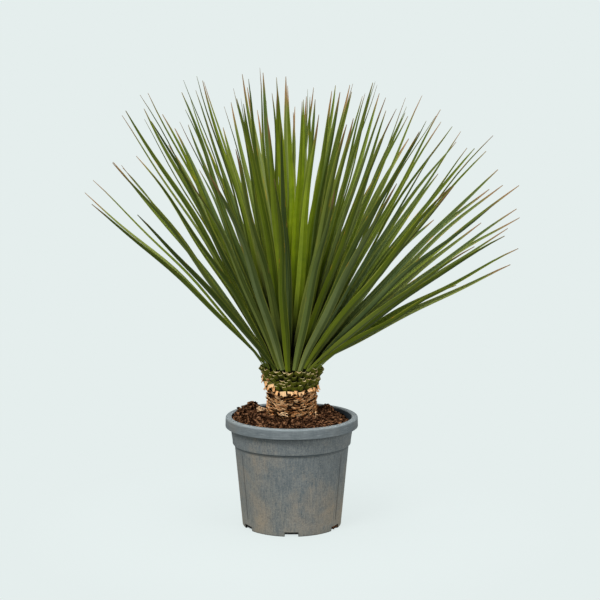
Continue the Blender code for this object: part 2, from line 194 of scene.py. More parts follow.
def addBump(tree, shader, height, strength, distance):
    bump = addNode(tree, "Bump", {"Height": height, "Strength": strength, "Distance": distance})
    tree.links.new(bump.outputs[0], shader.inputs["Normal"])


# Pieces on the frame

def makeMesh(name, bm):
    mesh = bpy.data.meshes.new(name)
    bm.to_mesh(mesh)
    bm.free()
    return mesh


def linkObject(name, data):
    obj = bpy.data.objects.new(name, data)
    bpy.context.scene.collection.objects.link(obj)
    return obj


def smoothFaces(mesh, sharpAngle):
    mesh.shade_smooth()
    mesh.set_sharp_from_angle(angle=math.radians(sharpAngle))


def finishPiece(name, bm, material, replaced, sharpAngle):
    mesh = makeMesh(name, bm)
    mesh.materials.append(material)
    smoothFaces(mesh, sharpAngle)
    obj = linkObject(name, mesh)
    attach(obj, "root")
    if replaced:
        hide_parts(*replaced)
    print(name, "done:", len(mesh.polygons), "faces")
    return obj


def startMesh(layers):
    bm = bmesh.new()
    return bm, [bm.verts.layers.float.new(name) for name in layers]


# small batches keep the operators quick
def pourInto(bm, batch):
    mesh = makeMesh("batch", batch)
    bm.from_mesh(mesh)
    bpy.data.meshes.remove(mesh)


def turnProfile(bm, profile, steps):
    points = [bm.verts.new((radius, 0.0, height)) for radius, height in profile]
    edges = [bm.edges.new(pair) for pair in zip(points, points[1:])]
    bmesh.ops.spin(
        bm, geom=points + edges, cent=(0, 0, 0), axis=(0, 0, 1), dvec=(0, 0, 0),
        angle=tau, steps=steps, use_merge=True, use_duplicate=False,
    )
    bmesh.ops.remove_doubles(bm, verts=bm.verts, dist=0.00001)
    bmesh.ops.recalc_face_normals(bm, faces=bm.faces)


# Pot

pot = {
    "height": 0.2, "rimRadius": 0.12, "rimSkirt": 0.018, "mouthRadius": 0.1087, "wall": 0.0024,
    "collarFootRadius": 0.1071, "collarFootHeight": 0.1505, "bodyTopRadius": 0.1032, "bodyTopHeight": 0.1455,
    "footRadius": 0.0897, "footWall": 0.0034, "floorHeight": 0.005, "padRadius": 0.02, "lipDepth": 0.0039,
    # how far the corners are rounded, from the mouth down to the foot
    "lipRound": 0.0016, "rimRound": 0.0026, "skirtRound": 0.0008, "bandRound": 0.0012, "footRound": 0.001,
    "notches": 6, "notchWidth": 0.023, "notchHeight": 0.008, "notchInner": 0.07, "notchSpread": 1.12,
    "fluteWidth": 0.024, "fluteDepth": 0.0011, "fluteStart": (0.014, 0.02), "fluteEnd": (0.137, 0.141),
    "fluted": (1, 2, 4, 5), "fluteEdge": 0.9, "ribs": 5, "ribHeight": 0.0006, "seam": 0.0012,
    "seamWidth": 0.0012, "skin": 0.0005, "steps": 420, "bodyRows": 26, "bodyRowsFrom": 0.143,
    "bodyRowsTo": 0.011, "sharpAngle": 32,
    "look": {
        # scale, detail, roughness, stretch, distortion
        "noises": {
            "fineStreaks": (1.0, 5.0, 0.7, (520, 520, 16)), "broadStreaks": (1.0, 3.0, 0.6, (48, 48, 14)),
            "scuffs": (1.0, 4.0, 0.7, (60, 60, 620)), "clouds": (34.0, 6.0, 0.72, None, 0.8),
            "patches": (13.0, 4.0, 0.6, None, 0.4), "specks": (640.0, 3.0, 0.7), "grains": (330.0, 3.0, 0.7),
        },
        "plastic": ((0.088, 0.11, 0.12), (
            ("clouds", 0.35, 0.66, 1.0, (0.142, 0.166, 0.173)),
            ("fineStreaks", 0.4, 0.66, 0.6, (0.225, 0.24, 0.236)),
        )),
        # dust that the rain has left: more of it lower down and at the sides
        "dustShare": (
            ("height", 0.15, 0.005, 0.14, 0.72), ("height", 0.146, 0.15, 0.0, -0.12),
            ("aside", 0.0, 0.075, -0.32, 0.06), ("x", -0.08, 0.08, 0.06, -0.04),
            ("broadStreaks", 0.34, 0.66, -0.12, 0.12), ("patches", 0.35, 0.65, -0.22, 0.2),
            ("clouds", 0.34, 0.68, -0.12, 0.12), ("fineStreaks", 0.3, 0.7, -0.18, 0.18),
            ("specks", 0.3, 0.7, -0.12, 0.12),
        ),
        "dust": ((0.25, 0.232, 0.186), (("patches", 0.42, 0.62, 1.0, (0.33, 0.266, 0.186)),)),
        "wearAndGrooveShading": (
            ("specks", 0.52, 0.72, 0.45, (0.38, 0.36, 0.31)), ("grains", 0.54, 0.72, 0.4, (0.33, 0.32, 0.28)),
            ("grains", 0.47, 0.3, 0.5, (0.07, 0.076, 0.076)),
            ("scuffs", 0.56, 0.72, 0.3, (0.32, 0.305, 0.26)),
            # painted shade in the flute grooves and seams, and a painted highlight on the rib tops
            ("groove", 0.1, 0.85, 0.85, (0.04, 0.044, 0.045)),
            ("groove", -0.1, -0.45, 0.45, (0.3, 0.31, 0.3)),
        ),
        "rim": ((0.118, 0.142, 0.152), (
            ("clouds", 0.3, 0.7, 1.0, (0.165, 0.19, 0.196)),
            ("fineStreaks", 0.5, 0.75, 0.35, (0.235, 0.26, 0.262)),
            ("patches", 0.5, 0.66, 0.4, (0.2, 0.19, 0.16)), ("scuffs", 0.52, 0.7, 0.5, (0.3, 0.33, 0.335)),
            ("scuffs", 0.46, 0.32, 0.45, (0.075, 0.09, 0.096)),
        )),
        # painted shade in the creases below the rim, below the collar band and along the foot: height,
        # spread, share of the painted shade
        "shadedCreases": ((0.1803, 0.0018, 0.8), (0.1468, 0.0016, 0.5), (0.0006, 0.0016, 0.55)),
        # painted shade for the creases, the inside of the mouth, the underside and the notches, and a painted
        # highlight for the top of the lip
        "creaseShade": (0.03, 0.032, 0.03), "lipHighlight": (0.33, 0.385, 0.4), "inside": (0.031, 0.046, 0.057),
        "under": (0.008, 0.007, 0.006), "notch": (0.006, 0.005, 0.004),
        # where each share starts and ends, and the shares there
        "limits": {
            "dust": (0.1, 0.9, 0.0, 0.88), "dustyFinish": (0.0, 1.0, 0.55, 0.85), "rim": (0.1815, 0.1825),
            "lip": (0.1965, 0.1996, 0.0, 0.7), "lipClouds": (0.3, 0.62, 0.45, 1.0),
            "wallRadius": (0.15, 0.198, 0.106, 0.1104), "withinWall": (0.0004, -0.0004),
            "insideFrom": (0.148, 0.15), "insideTo": (0.1985, 0.1975), "underRadius": (0.0862, 0.085),
            "underHeight": (0.012, 0.009), "notchSide": (0.01288, 0.01219), "notchTop": (0.0086, 0.0082),
        },
    },
}


def potBodyRadius(height):
    return blend(pot["footRadius"], pot["bodyTopRadius"], height / pot["bodyTopHeight"])


def mouthWallRadius(height):
    low = pot["collarFootRadius"] - pot["wall"]
    share = (height - pot["collarFootHeight"]) / (pot["height"] - pot["collarFootHeight"])
    return blend(low, pot["mouthRadius"], share)


def roundCorner(centreRadius, centreHeight, size, start, end, count=5):
    points = []
    for i in range(count):
        turn = math.radians(blend(start, end, i / (count - 1)))
        points.append((centreRadius + size * math.cos(turn), centreHeight + size * math.sin(turn)))
    return points


# from the middle of the floor up the inside, over the rim, down the outside and back to the middle
def potProfile():
    wall, top, rim, mouth = pot["wall"], pot["height"], pot["rimRadius"], pot["mouthRadius"]
    band, bandHeight = pot["collarFootRadius"], pot["collarFootHeight"]
    body, bodyHeight = pot["bodyTopRadius"], pot["bodyTopHeight"]
    foot, pad, under = pot["footRadius"], pot["padRadius"], pot["floorHeight"]
    floorTop, skirt, lipUnder = under + wall, top - pot["rimSkirt"], top - pot["lipDepth"]
    profile = [
        (0.0, wall), (pad - 2 * wall, wall), (pad, floorTop), (potBodyRadius(floorTop) - wall, floorTop),
        (body - wall, bodyHeight), (band - wall, bandHeight), (mouthWallRadius(0.175), 0.175),
    ]
    size = pot["lipRound"]
    profile += roundCorner(mouth + size, top - size, size, 180, 90)
    size = pot["rimRound"]
    profile += roundCorner(rim - size - 0.0004, top - size, size, 90, 8, 7)
    profile += [(rim - 0.00015, top - 0.009), (rim, skirt + 0.0012)]
    size = pot["skirtRound"]
    profile += roundCorner(rim - size, skirt + size, size, 0, -90, 4)
    profile += [
        (rim - wall, skirt), (rim - wall - 0.0006, lipUnder), (mouth + wall, lipUnder),
        (mouth + wall - 0.0006, skirt - 0.004), (band + 0.0003, bandHeight + 0.006),
    ]
    size = pot["bandRound"]
    profile += roundCorner(band - size + 0.0001, bandHeight + size, size, 0, -80)
    profile += [
        (body + 0.0012, bodyHeight + 0.0032), (body + 0.0003, bodyHeight + 0.0012), (body, bodyHeight),
    ]
    for i in range(pot["bodyRows"]):
        height = blend(pot["bodyRowsFrom"], pot["bodyRowsTo"], i / (pot["bodyRows"] - 1))
        profile.append((potBodyRadius(height), height))
    size = pot["footRound"]
    profile.append((potBodyRadius(0.0016), 0.0016))
    profile += roundCorner(foot - size - 0.0001, size, size, -10, -90, 4)
    profile += [
        (foot - pot["footWall"], 0.0), (foot - pot["footWall"], under), (pad + wall, under), (pad, 0.0),
        (0.0, 0.0),
    ]
    return profile


# ribbed panels pressed into the sides of the body
def pressFlutes(bm):
    groove = bm.verts.layers.float.new("groove")
    for vert in bm.verts:
        radius, height = math.hypot(vert.co.x, vert.co.y), vert.co.z
        if abs(radius - potBodyRadius(height)) > pot["skin"]:
            continue
        heading = math.atan2(vert.co.y, vert.co.x)
        rows = easeStep(height, *pot["fluteStart"]) * (1.0 - easeStep(height, *pot["fluteEnd"]))
        for notch in pot["fluted"]:
            gap = headingGap(heading, frontSide + notch * tau / pot["notches"])
            across = gap * radius / (pot["fluteWidth"] / 2)
            if abs(across) > 1.1:
                continue
            press = 1.0 - easeStep(abs(across), pot["fluteEdge"], 1.0)
            rib = 0.5 + 0.5 * math.cos(across * math.pi * pot["ribs"])
            seam = math.exp(-(gap * radius / pot["seamWidth"]) ** 2)
            depth = press * (pot["fluteDepth"] - pot["ribHeight"] * rib) + pot["seam"] * seam
            vert.co -= outward(heading) * depth * rows
            # the groove layer carries painted shade for the grooves and seams and a painted highlight for the
            # rib tops
            vert[groove] = rows * (seam - press * 0.9 * (rib - 0.5))


def cutNotches(obj):
    bm = bmesh.new()
    reach = 2 * (pot["rimRadius"] - pot["notchInner"])
    for i in range(pot["notches"]):
        turn = Matrix.Rotation(frontSide + i * tau / pot["notches"], 3, "Z")
        for vert in bmesh.ops.create_cube(bm, size=1.0)["verts"]:
            spread = pot["notchSpread"] if vert.co.z < 0.0 else 1.0
            vert.co = turn @ Vector((
                vert.co.x * reach + pot["notchInner"] + reach / 2,
                vert.co.y * pot["notchWidth"] * spread,
                vert.co.z * 2 * pot["notchHeight"],
            ))
    cutter = linkObject("notchCutter", makeMesh("notchCutter", bm))
    cut = obj.modifiers.new("notch", "BOOLEAN")
    cut.operation = "DIFFERENCE"
    cut.object = cutter
    cut.solver = "EXACT"
    bpy.context.view_layer.update()
    graph = bpy.context.evaluated_depsgraph_get()
    mesh = bpy.data.meshes.new_from_object(obj.evaluated_get(graph))
    obj.modifiers.clear()
    obj.data = mesh
    bpy.data.objects.remove(cutter, do_unlink=True)


def makePotMaterial():
    mat, tree, shader = newMaterial("weatheredPlastic")
    look, limits = pot["look"], pot["look"]["limits"]
    values = readValues(tree, ["groove"], look["noises"])
    place = objectPlace(tree)
    x, y, height = addNode(tree, "SeparateXYZ", {0: place}).outputs
    reach = vectorLength(tree, joinAxes(tree, x, y))
    values.update(x=x, height=height, aside=distanceFrom(tree, x, 0.012))
    shares = [remap(tree, values[name], *ends) for name, *ends in look["dustShare"]]
    dust = remap(tree, doMath(tree, "ADD", *shares), *limits["dust"])
    plastic, earth, rim = [addTints(tree, values, *look[name]) for name in ("plastic", "dust", "rim")]
    dusty = addTints(tree, values, mixColour(tree, dust, plastic, earth), look["wearAndGrooveShading"])

    # the rim is cleaner, and the top of its lip is made paler as a painted highlight
    lipHighlightShare = remap(tree, height, *limits["lip"])
    lipHighlightShare = doMath(tree, "MULTIPLY", lipHighlightShare, remap(tree, values["clouds"], *limits["lipClouds"]))
    rim = mixColour(tree, lipHighlightShare, rim, look["lipHighlight"])
    colour = mixColour(tree, remap(tree, height, *limits["rim"]), dusty, rim)
    # darkens each crease with painted shade
    for middle, spread, share in look["shadedCreases"]:
        creaseShade = remap(tree, distanceFrom(tree, height, middle), spread, 0.0, 0.0, share)
        colour = mixColour(tree, creaseShade, colour, look["creaseShade"])

    # painted shade: the wall inside the mouth, the underside of the floor and the notches are darkened where
    # shade falls
    pastWall = doMath(tree, "SUBTRACT", reach, remap(tree, height, *limits["wallRadius"]))
    inside = doMath(
        tree, "MULTIPLY", remap(tree, pastWall, *limits["withinWall"]),
        remap(tree, height, *limits["insideFrom"]), remap(tree, height, *limits["insideTo"]),
    )
    colour = mixColour(tree, inside, colour, look["inside"])
    # the underside of the floor is painted near black: painted shade
    under = remap(tree, reach, *limits["underRadius"])
    under = doMath(tree, "MULTIPLY", under, remap(tree, height, *limits["underHeight"]))
    colour = mixColour(tree, under, colour, look["under"])
    # the notches are painted near black: painted shade inside them
    for i in range(pot["notches"]):
        turned = addNode(
            tree, "VectorRotate", {"Vector": place, "Angle": frontSide + i * tau / pot["notches"]},
            rotation_type="Z_AXIS", invert=True,
        ).outputs[0]
        ahead, aside = addNode(tree, "SeparateXYZ", {0: turned}).outputs[:2]
        nearby = doMath(
            tree, "MULTIPLY", remap(tree, doMath(tree, "ABSOLUTE", aside), *limits["notchSide"]),
            doMath(tree, "GREATER_THAN", ahead, 0.0), remap(tree, height, *limits["notchTop"]),
        )
        colour = mixColour(tree, nearby, colour, look["notch"])

    setFinish(tree, shader, colour, remap(tree, dust, *limits["dustyFinish"]), 0.25)
    relief = doMath(tree, "ADD", values["fineStreaks"], values["specks"])
    addBump(tree, shader, doMath(tree, "MULTIPLY", relief, 0.7), 0.3, 0.0006)
    return mat


def makePot():
    bm = bmesh.new()
    turnProfile(bm, potProfile(), pot["steps"])
    pressFlutes(bm)
    obj = finishPiece("nurseryPot", bm, makePotMaterial(), ["pot"], pot["sharpAngle"])
    cutNotches(obj)
    smoothFaces(obj.data, pot["sharpAngle"])
    print("notches cut")


# Soil

soil = {
    "edgeHeight": 0.188, "moundHeight": 0.2045, "lump": 0.003, "lumpPitch": 0.013, "calmShare": 0.25,
    # x, y, width and height of each heap
    "heaps": (
        (-0.0704, 0.0355, 0.0094, 0.0179), (-0.091, 0.0186, 0.0163, 0.0232),
        (0.0651, 0.0355, 0.0094, 0.0124), (0.0732, 0.0454, 0.0193, 0.0041),
    ),
    "wallCalm": (0.092, 0.1055), "wallHeight": 0.1985, "peak": 0.23, "stemRadius": 0.04,
    "holeRadius": 0.038, "holeBottom": 0.15, "rings": 80, "steps": 420,
    # pitch and height of the coarse and the fine grains
    "grit": ((0.0072, 0.0062), (0.0036, 0.003)), "gritLevel": 0.45, "roughPitch": 1.7, "roughShare": 0.35,
    "gritDrop": 0.0012, "edgeCalm": (-0.0005, 0.004), "tone": 0.3, "toneSwing": 0.5, "tonePitch": 0.006,
    "seed": 31, "crumbs": 3000, "batch": 60, "crumbSize": (0.0012, 0.0044), "crumbRing": (0.0425, 0.1052),
    "crumbRise": (-0.3, 0.45), "crumbRough": 0.7, "crumbPitch": 1.3, "tumble": 0.9, "chipShare": 0.45,
    "chipStretch": ((1.3, 2.1), (0.4, 0.7), (0.35, 0.6)),
    "clodStretch": ((0.8, 1.3), (0.7, 1.0), (0.6, 0.9)),
    # soil that shows in one of the drain notches
    "spilt": 52, "spillHeading": math.radians(-27),
    "spill": {
        "turn": (-0.09, 0.09), "radius": (0.0842, 0.0878), "height": (0.0016, 0.0064),
        "size": (0.001, 0.0018),
    },
    "look": {
        "noises": {"coarse": (120.0, 4.0, 0.7), "fine": (230.0, 3.0, 0.7)},
        "earth": ((0.012, 0.0045, 0.002), (
            ("coarse", 0.42, 0.6, 1.0, (0.11, 0.046, 0.02)), ("tone", 0.35, 1.0, 0.95, (0.33, 0.16, 0.078)),
            ("fine", 0.55, 0.68, 0.85, (0.36, 0.185, 0.095)), ("fine", 0.5, 0.4, 0.92, (0.005, 0.002, 0.001)),
            ("tone", 0.28, 0.05, 0.85, (0.006, 0.0025, 0.001)),
        )),
    },
}


def bumpAt(x, y, spot):
    distance = math.hypot(x - spot[0], y - spot[1])
    return spot[3] * math.exp(-0.5 * (distance / spot[2]) ** 2)


def soilLevel(x, y):
    radius = math.hypot(x, y)
    fromStem = (radius - soil["stemRadius"]) / (pot["mouthRadius"] - soil["stemRadius"])
    level = blend(soil["moundHeight"], soil["edgeHeight"], easeStep(fromStem))
    lumps = noise.noise(Vector((x, y, 0.0)) / soil["lumpPitch"]) * soil["lump"]
    clear = easeStep(fromStem / soil["calmShare"])
    level += clear * (sum(bumpAt(x, y, heap) for heap in soil["heaps"]) + lumps)
    return min(level, blend(soil["peak"], soil["wallHeight"], easeStep(radius, *soil["wallCalm"])))


# coarse and fine grains, as cells with gaps between them
def gritAt(x, y):
    rise = 0.0
    for pitch, height in soil["grit"]:
        spot = Vector((x, y, 3.7)) / pitch
        nearest = noise.voronoi(spot)[0][0]
        rough = noise.noise(spot * soil["roughPitch"]) * soil["roughShare"]
        rise += (soil["gritLevel"] - nearest + rough) * height
    return rise


def makeSoilMaterial():
    mat, tree, shader = newMaterial("pottingSoil")
    values = readValues(tree, ["tone"], soil["look"]["noises"])
    setFinish(tree, shader, addTints(tree, values, *soil["look"]["earth"]), 0.95, 0.03)
    addBump(tree, shader, doMath(tree, "ADD", values["coarse"], values["fine"]), 0.8, 0.0014)
    return mat


def makeSoilBed(material):
    gap, wall, level = seatGap, pot["wall"], soil["edgeHeight"]
    hole, rings = soil["holeRadius"], soil["rings"]
    floorTop = pot["floorHeight"] + wall + gap
    edge = mouthWallRadius(level) - 2 * gap
    profile = [(0.0, soil["holeBottom"]), (hole, soil["holeBottom"])]
    profile += [(blend(hole, edge, i / (rings - 1)), level) for i in range(rings)]
    profile += [
        (pot["collarFootRadius"] - wall - 2 * gap, pot["collarFootHeight"] + gap),
        (pot["bodyTopRadius"] - wall - 3 * gap, pot["bodyTopHeight"] - gap),
        (potBodyRadius(floorTop) - wall - 2 * gap, floorTop), (pot["padRadius"] - gap, floorTop),
        (pot["padRadius"] - 2 * wall - gap, wall + gap), (0.0, wall + gap),
    ]
    bm, [tone] = startMesh(["tone"])
    turnProfile(bm, profile, soil["steps"])
    for vert in bm.verts:
        x, y = vert.co.x, vert.co.y
        patchy = noise.noise(Vector((x, y, 1.0)) / soil["tonePitch"])
        vert[tone] = soil["tone"] + soil["toneSwing"] * patchy
        if abs(vert.co.z - level) > gap / 2:
            continue
        radius = math.hypot(x, y)
        calm = easeStep(edge - radius, *soil["edgeCalm"])
        vert.co.z = soilLevel(x, y) + gritAt(x, y) * calm - soil["gritDrop"]
        if radius > edge - gap:
            reach = mouthWallRadius(min(vert.co.z, level)) - 2 * gap
            vert.co.x *= reach / radius
            vert.co.y *= reach / radius
    finishPiece("soilBed", bm, material, ["soil"], sharpAngle=180)


def crumble(bm, spot, size, rng, toneLayer, tone):
    made = bmesh.ops.create_icosphere(bm, subdivisions=1, radius=size)
    turn = Matrix.Rotation(rng.uniform(0, tau), 3, "Z") @ Matrix.Rotation(swing(rng, soil["tumble"]), 3, "X")
    limits = soil["chipStretch"] if rng.random() < soil["chipShare"] else soil["clodStretch"]
    stretch = Vector([rng.uniform(*pair) for pair in limits])
    shift = Vector((rng.uniform(0, 50), 0, 0))
    for vert in made["verts"]:
        rough = 1.0 + soil["crumbRough"] * noise.noise(vert.co / size * soil["crumbPitch"] + shift)
        vert.co = spot + turn @ (vert.co * stretch * rough)
        vert[toneLayer] = tone


def crumbSpot(rng, size):
    inner, outer = soil["crumbRing"]
    radius = math.sqrt(blend(inner**2, outer**2, rng.random()))
    spot = outward(rng.uniform(0, tau)) * min(radius, outer - size)
    spot.z = soilLevel(spot.x, spot.y) + gritAt(spot.x, spot.y) + size * rng.uniform(*soil["crumbRise"])
    return spot


def makeSoilCrumbs(material):
    rng = random.Random(soil["seed"])
    bm = startMesh(["tone"])[0]
    for start in range(0, soil["crumbs"], soil["batch"]):
        batch, [toneLayer] = startMesh(["tone"])
        for i in range(soil["batch"]):
            size = blend(*soil["crumbSize"], rng.random() ** 2.1)
            crumble(batch, crumbSpot(rng, size), size, rng, toneLayer, rng.random() ** 1.4)
        pourInto(bm, batch)
    batch, [toneLayer] = startMesh(["tone"])
    for i in range(soil["spilt"]):
        one = drawFrom(rng, soil["spill"])
        spot = ringPoint(soil["spillHeading"] + one["turn"], one["radius"], one["height"])
        crumble(batch, spot, one["size"], rng, toneLayer, rng.random())
    pourInto(bm, batch)
    finishPiece("soilCrumbs", bm, material, (), sharpAngle=60)


# Stem

stem = {
    "radius": 0.04, "top": 0.2515, "holeBottom": 0.1503, "coreInset": 0.0012, "bevel": 0.009, "steps": 64,
    "seed": 57, "rows": 19, "perRow": 23, "firstHeight": 0.196, "pitch": 0.0028, "headingPlay": 0.22,
    "heightPlay": 0.001, "hollow": 0.62, "slant": 0.62, "tearShare": 0.45,
    "limits": {
        "lean": (32.0, 60.0), "width": (0.0075, 0.0155), "length": (0.006, 0.0098), "slant": (-0.34, 0.34),
        "thickness": (0.0014, 0.0028),
    },
    "torn": 0.0026, "untorn": 0.0009, "rootRadius": 0.0384, "soilLine": 0.203, "sideHighlight": 0.26,
    "sunkLength": 0.55, "sunkTone": 0.8, "middle": 0.006,
    # heading, height, half width in radians, half height
    "hollows": (
        (math.radians(-92), 0.221, 0.2, 0.006), (math.radians(-97), 0.24, 0.26, 0.004),
        (math.radians(-152), 0.243, 0.34, 0.005), (math.radians(-135), 0.215, 0.16, 0.004),
    ),
    "look": {
        "noises": {"fibre": (1.0, 4.0, 0.7, (560, 560, 110)), "blotch": (160.0, 4.0, 0.7)},
        "rootShade": ((0.01, 0.005, 0.003), (("blotch", 0.35, 0.65, 1.0, (0.08, 0.037, 0.014)),)),
        "tan": ((0.36, 0.165, 0.056), (
            ("tone", 0.0, 0.5, 1.0, (0.92, 0.48, 0.19)), ("tone", 0.5, 0.9, 1.0, (1.0, 0.66, 0.35)),
            ("tone", 1.05, 1.35, 1.0, (1.0, 0.74, 0.47)), ("blotch", 0.54, 0.74, 0.6, (0.66, 0.27, 0.075)),
        )),
        "fibres": (("fibre", 0.52, 0.66, 0.5, (0.05, 0.02, 0.007)),),
        # a leaf base turns from dark, painted shade at its root under the row above, to tan on its way out
        "limits": {"blotch": (0.3, 0.7, -0.22, 0.18), "tone": (0.0, 1.0, -0.24, 0.26), "tan": (0.56, 0.8)},
    },
}


def makeHuskMaterial():
    mat, tree, shader = newMaterial("dryHusk")
    look, limits = stem["look"], stem["look"]["limits"]
    values = readValues(tree, husk["layers"], look["noises"])
    share = doMath(
        tree, "ADD", values["rise"], remap(tree, values["blotch"], *limits["blotch"]),
        remap(tree, values["tone"], *limits["tone"]),
    )
    rootShade, tan = [addTints(tree, values, *look[name]) for name in ("rootShade", "tan")]
    colour = mixColour(tree, remap(tree, share, *limits["tan"]), rootShade, tan)
    setFinish(tree, shader, addTints(tree, values, colour, look["fibres"]), 0.8, 0.15)
    addBump(tree, shader, values["fibre"], 0.6, 0.0008)
    return mat


# one torn leaf base: a thin plate bowed round the stem
husk = {
    "strips": 8, "rows": 3, "narrowing": 0.12, "bow": 0.55, "curl": 0.001, "riseFrom": 0.0,
    "tear": (-1.0, 0.35), "layers": ("tone", "rise"),
}


def addHusk(bm, one, rng):
    one = {**husk, **one}
    batch, (tone, rise) = startMesh(one["layers"])
    made = bmesh.ops.create_grid(batch, x_segments=one["strips"], y_segments=one["rows"], size=0.5)
    width = one["width"]
    side, way = sideways(one["heading"]), leaningWay(one["heading"], one["lean"])
    face = side.cross(way)
    tilt = Matrix.Rotation(one["slant"], 3, face)
    tears = {}
    for vert in made["verts"]:
        across, up = vert.co.x, vert.co.y + 0.5
        narrow = 1.0 - one["narrowing"] * up**2
        bow = -(across**2) * width * one["bow"]
        torn = tears.setdefault(round(across, 3), rng.uniform(*one["tear"])) * one["ragged"] * up**3
        place = side * across * width * narrow + way * (up * one["length"] + torn)
        vert.co = one["root"] + tilt @ (place + face * (bow + up**2 * one["curl"]))
        vert[tone], vert[rise] = one["tone"], one["riseFrom"] + up
    bmesh.ops.recalc_face_normals(batch, faces=batch.faces)
    bmesh.ops.solidify(batch, geom=list(batch.faces), thickness=one["thickness"])
    bmesh.ops.recalc_face_normals(batch, faces=batch.faces)
    pourInto(bm, batch)


def inHollow(heading, height):
    for middle, level, spread, tall in stem["hollows"]:
        if (headingGap(heading, middle) / spread) ** 2 + ((height - level) / tall) ** 2 < 1.0:
            return True
    return False


def makeStem(material):
    rng = random.Random(stem["seed"])
    bm = startMesh(collar["layers"])[0]
    low, top, bevel = stem["holeBottom"], stem["top"], stem["bevel"]
    radius = stem["radius"] - stem["coreInset"]
    profile = [(0.0, top), (radius, top), (radius, low + bevel), (radius - bevel, low), (0.0, low)]
    turnProfile(bm, profile, stem["steps"])
    for row in range(stem["rows"]):
        for i in range(stem["perRow"]):
            heading = (i + 0.5 * (row % 2) + swing(rng, stem["headingPlay"])) * tau / stem["perRow"]
            height = stem["firstHeight"] + row * stem["pitch"] + swing(rng, stem["heightPlay"])
            one = drawFrom(rng, stem["limits"])
            sunk = inHollow(heading, height + stem["middle"])
            facing = math.cos(heading)
            one["heading"], one["lean"] = heading, math.radians(one["lean"])
            one["length"] *= stem["sunkLength"] if sunk else 1.0
            one["slant"] -= stem["slant"] * facing
            # the left and right sides of the stem are made paler: a painted highlight
            one["tone"] = rng.random() ** 1.2 + stem["sideHighlight"] * abs(facing)
            # stubs in the hollows are darkened as painted shade; those below the soil line are darkened too
            one["tone"] -= stem["sunkTone"] if sunk or height < stem["soilLine"] else 0.0
            one["ragged"] = stem["torn"] if rng.random() < stem["tearShare"] else stem["untorn"]
            one["root"] = ringPoint(heading, stem["rootRadius"], height)
            one.update(hollow=stem["hollow"], dry=1.0, square=1.0)
            addStub(bm, one, rng)
    finishPiece("dryStem", bm, material, ["stem"], sharpAngle=50)


# Green collar of trimmed leaf bases

collar = {
    "radius": 0.0485, "top": 0.293, "footRadius": 0.0436, "steps": 48, "seed": 14, "lookSeed": 77,
    "rows": 5, "perRow": 21, "firstHeight": 0.2572, "pitch": 0.0066, "play": 0.16, "spread": 0.0014,
    "inset": 0.0035, "lean": (26.0, 54.0), "tilt": 5.0, "slant": 0.12, "fan": 0.3, "length": 0.0145,
    "lengthPlay": (0.85, 1.12), "extraLength": (0.86, 1.22), "width": 0.01344, "widthPlay": (0.9, 1.1),
    "thickness": 0.0054, "thicknessPlay": (0.8, 1.15), "sides": 12, "hollow": 0.66, "endShare": 0.86,
    "cutShare": 0.975, "ragged": 0.0005, "raggedPeel": 0.0012, "topSkip": 0.3, "besideTop": 0.72,
    "peelHeading": math.radians(202), "peelSpread": (0.62, 0.44, 0.0, 0.0, 0.0), "peelShare": 0.8,
    # height, radius, lean in degrees, row number
    "fillRows": (
        (0.249, 0.0428, 20.0, 6), (0.2525, 0.0424, 24.0, 7), (0.256, 0.0424, 28.0, 6),
        (0.26, 0.0445, 34.0, 8), (0.28, 0.0475, 44.0, 7),
    ),
    "layers": ("tone", "rise", "cut", "dry"),
    "look": {
        "noises": {"fibre": (1.0, 4.0, 0.65, (700, 700, 140)), "blotch": (150.0, 4.0, 0.65)},
        "green": ((0.05, 0.06, 0.003), (
            ("blotch", 0.3, 0.7, 1.0, (0.128, 0.14, 0.01)), ("tone", 0.35, 1.0, 0.75, (0.17, 0.172, 0.02)),
            # near black at the root of each stub: painted shade under the row above
            ("rise", 0.8, 0.3, 0.97, (0.005, 0.006, 0.001)),
        )),
        "peel": ((0.36, 0.15, 0.045), (
            # the rise tint darkens the root of a peeled stub: painted shade
            ("blotch", 0.3, 0.7, 1.0, (0.85, 0.48, 0.22)), ("rise", 0.9, 0.6, 0.97, (0.04, 0.018, 0.006)),
        )),
        "cutFace": ((0.36, 0.31, 0.12), (
            ("blotch", 0.35, 0.7, 1.0, (0.84, 0.7, 0.42)), ("tone", 0.45, 1.0, 0.6, (0.56, 0.34, 0.15)),
            ("tone", 0.48, 0.22, 0.94, (0.095, 0.098, 0.014)),
        )),
        "fibres": (("fibre", 0.52, 0.75, 0.45, (0.03, 0.04, 0.01)),),
    },
}


def makeStubMaterial():
    mat, tree, shader = newMaterial("trimmedLeafBase")
    look = collar["look"]
    values = readValues(tree, collar["layers"], look["noises"])
    green, peel, cutFace = [addTints(tree, values, *look[name]) for name in ("green", "peel", "cutFace")]
    colour = mixColour(tree, values["dry"], green, peel)
    colour = mixColour(tree, remap(tree, values["cut"], 0.45, 0.75), colour, cutFace)
    setFinish(tree, shader, addTints(tree, values, colour, look["fibres"], "MULTIPLY"), 0.6, 0.1)
    addBump(tree, shader, values["fibre"], 0.35, 0.0006)
    return mat


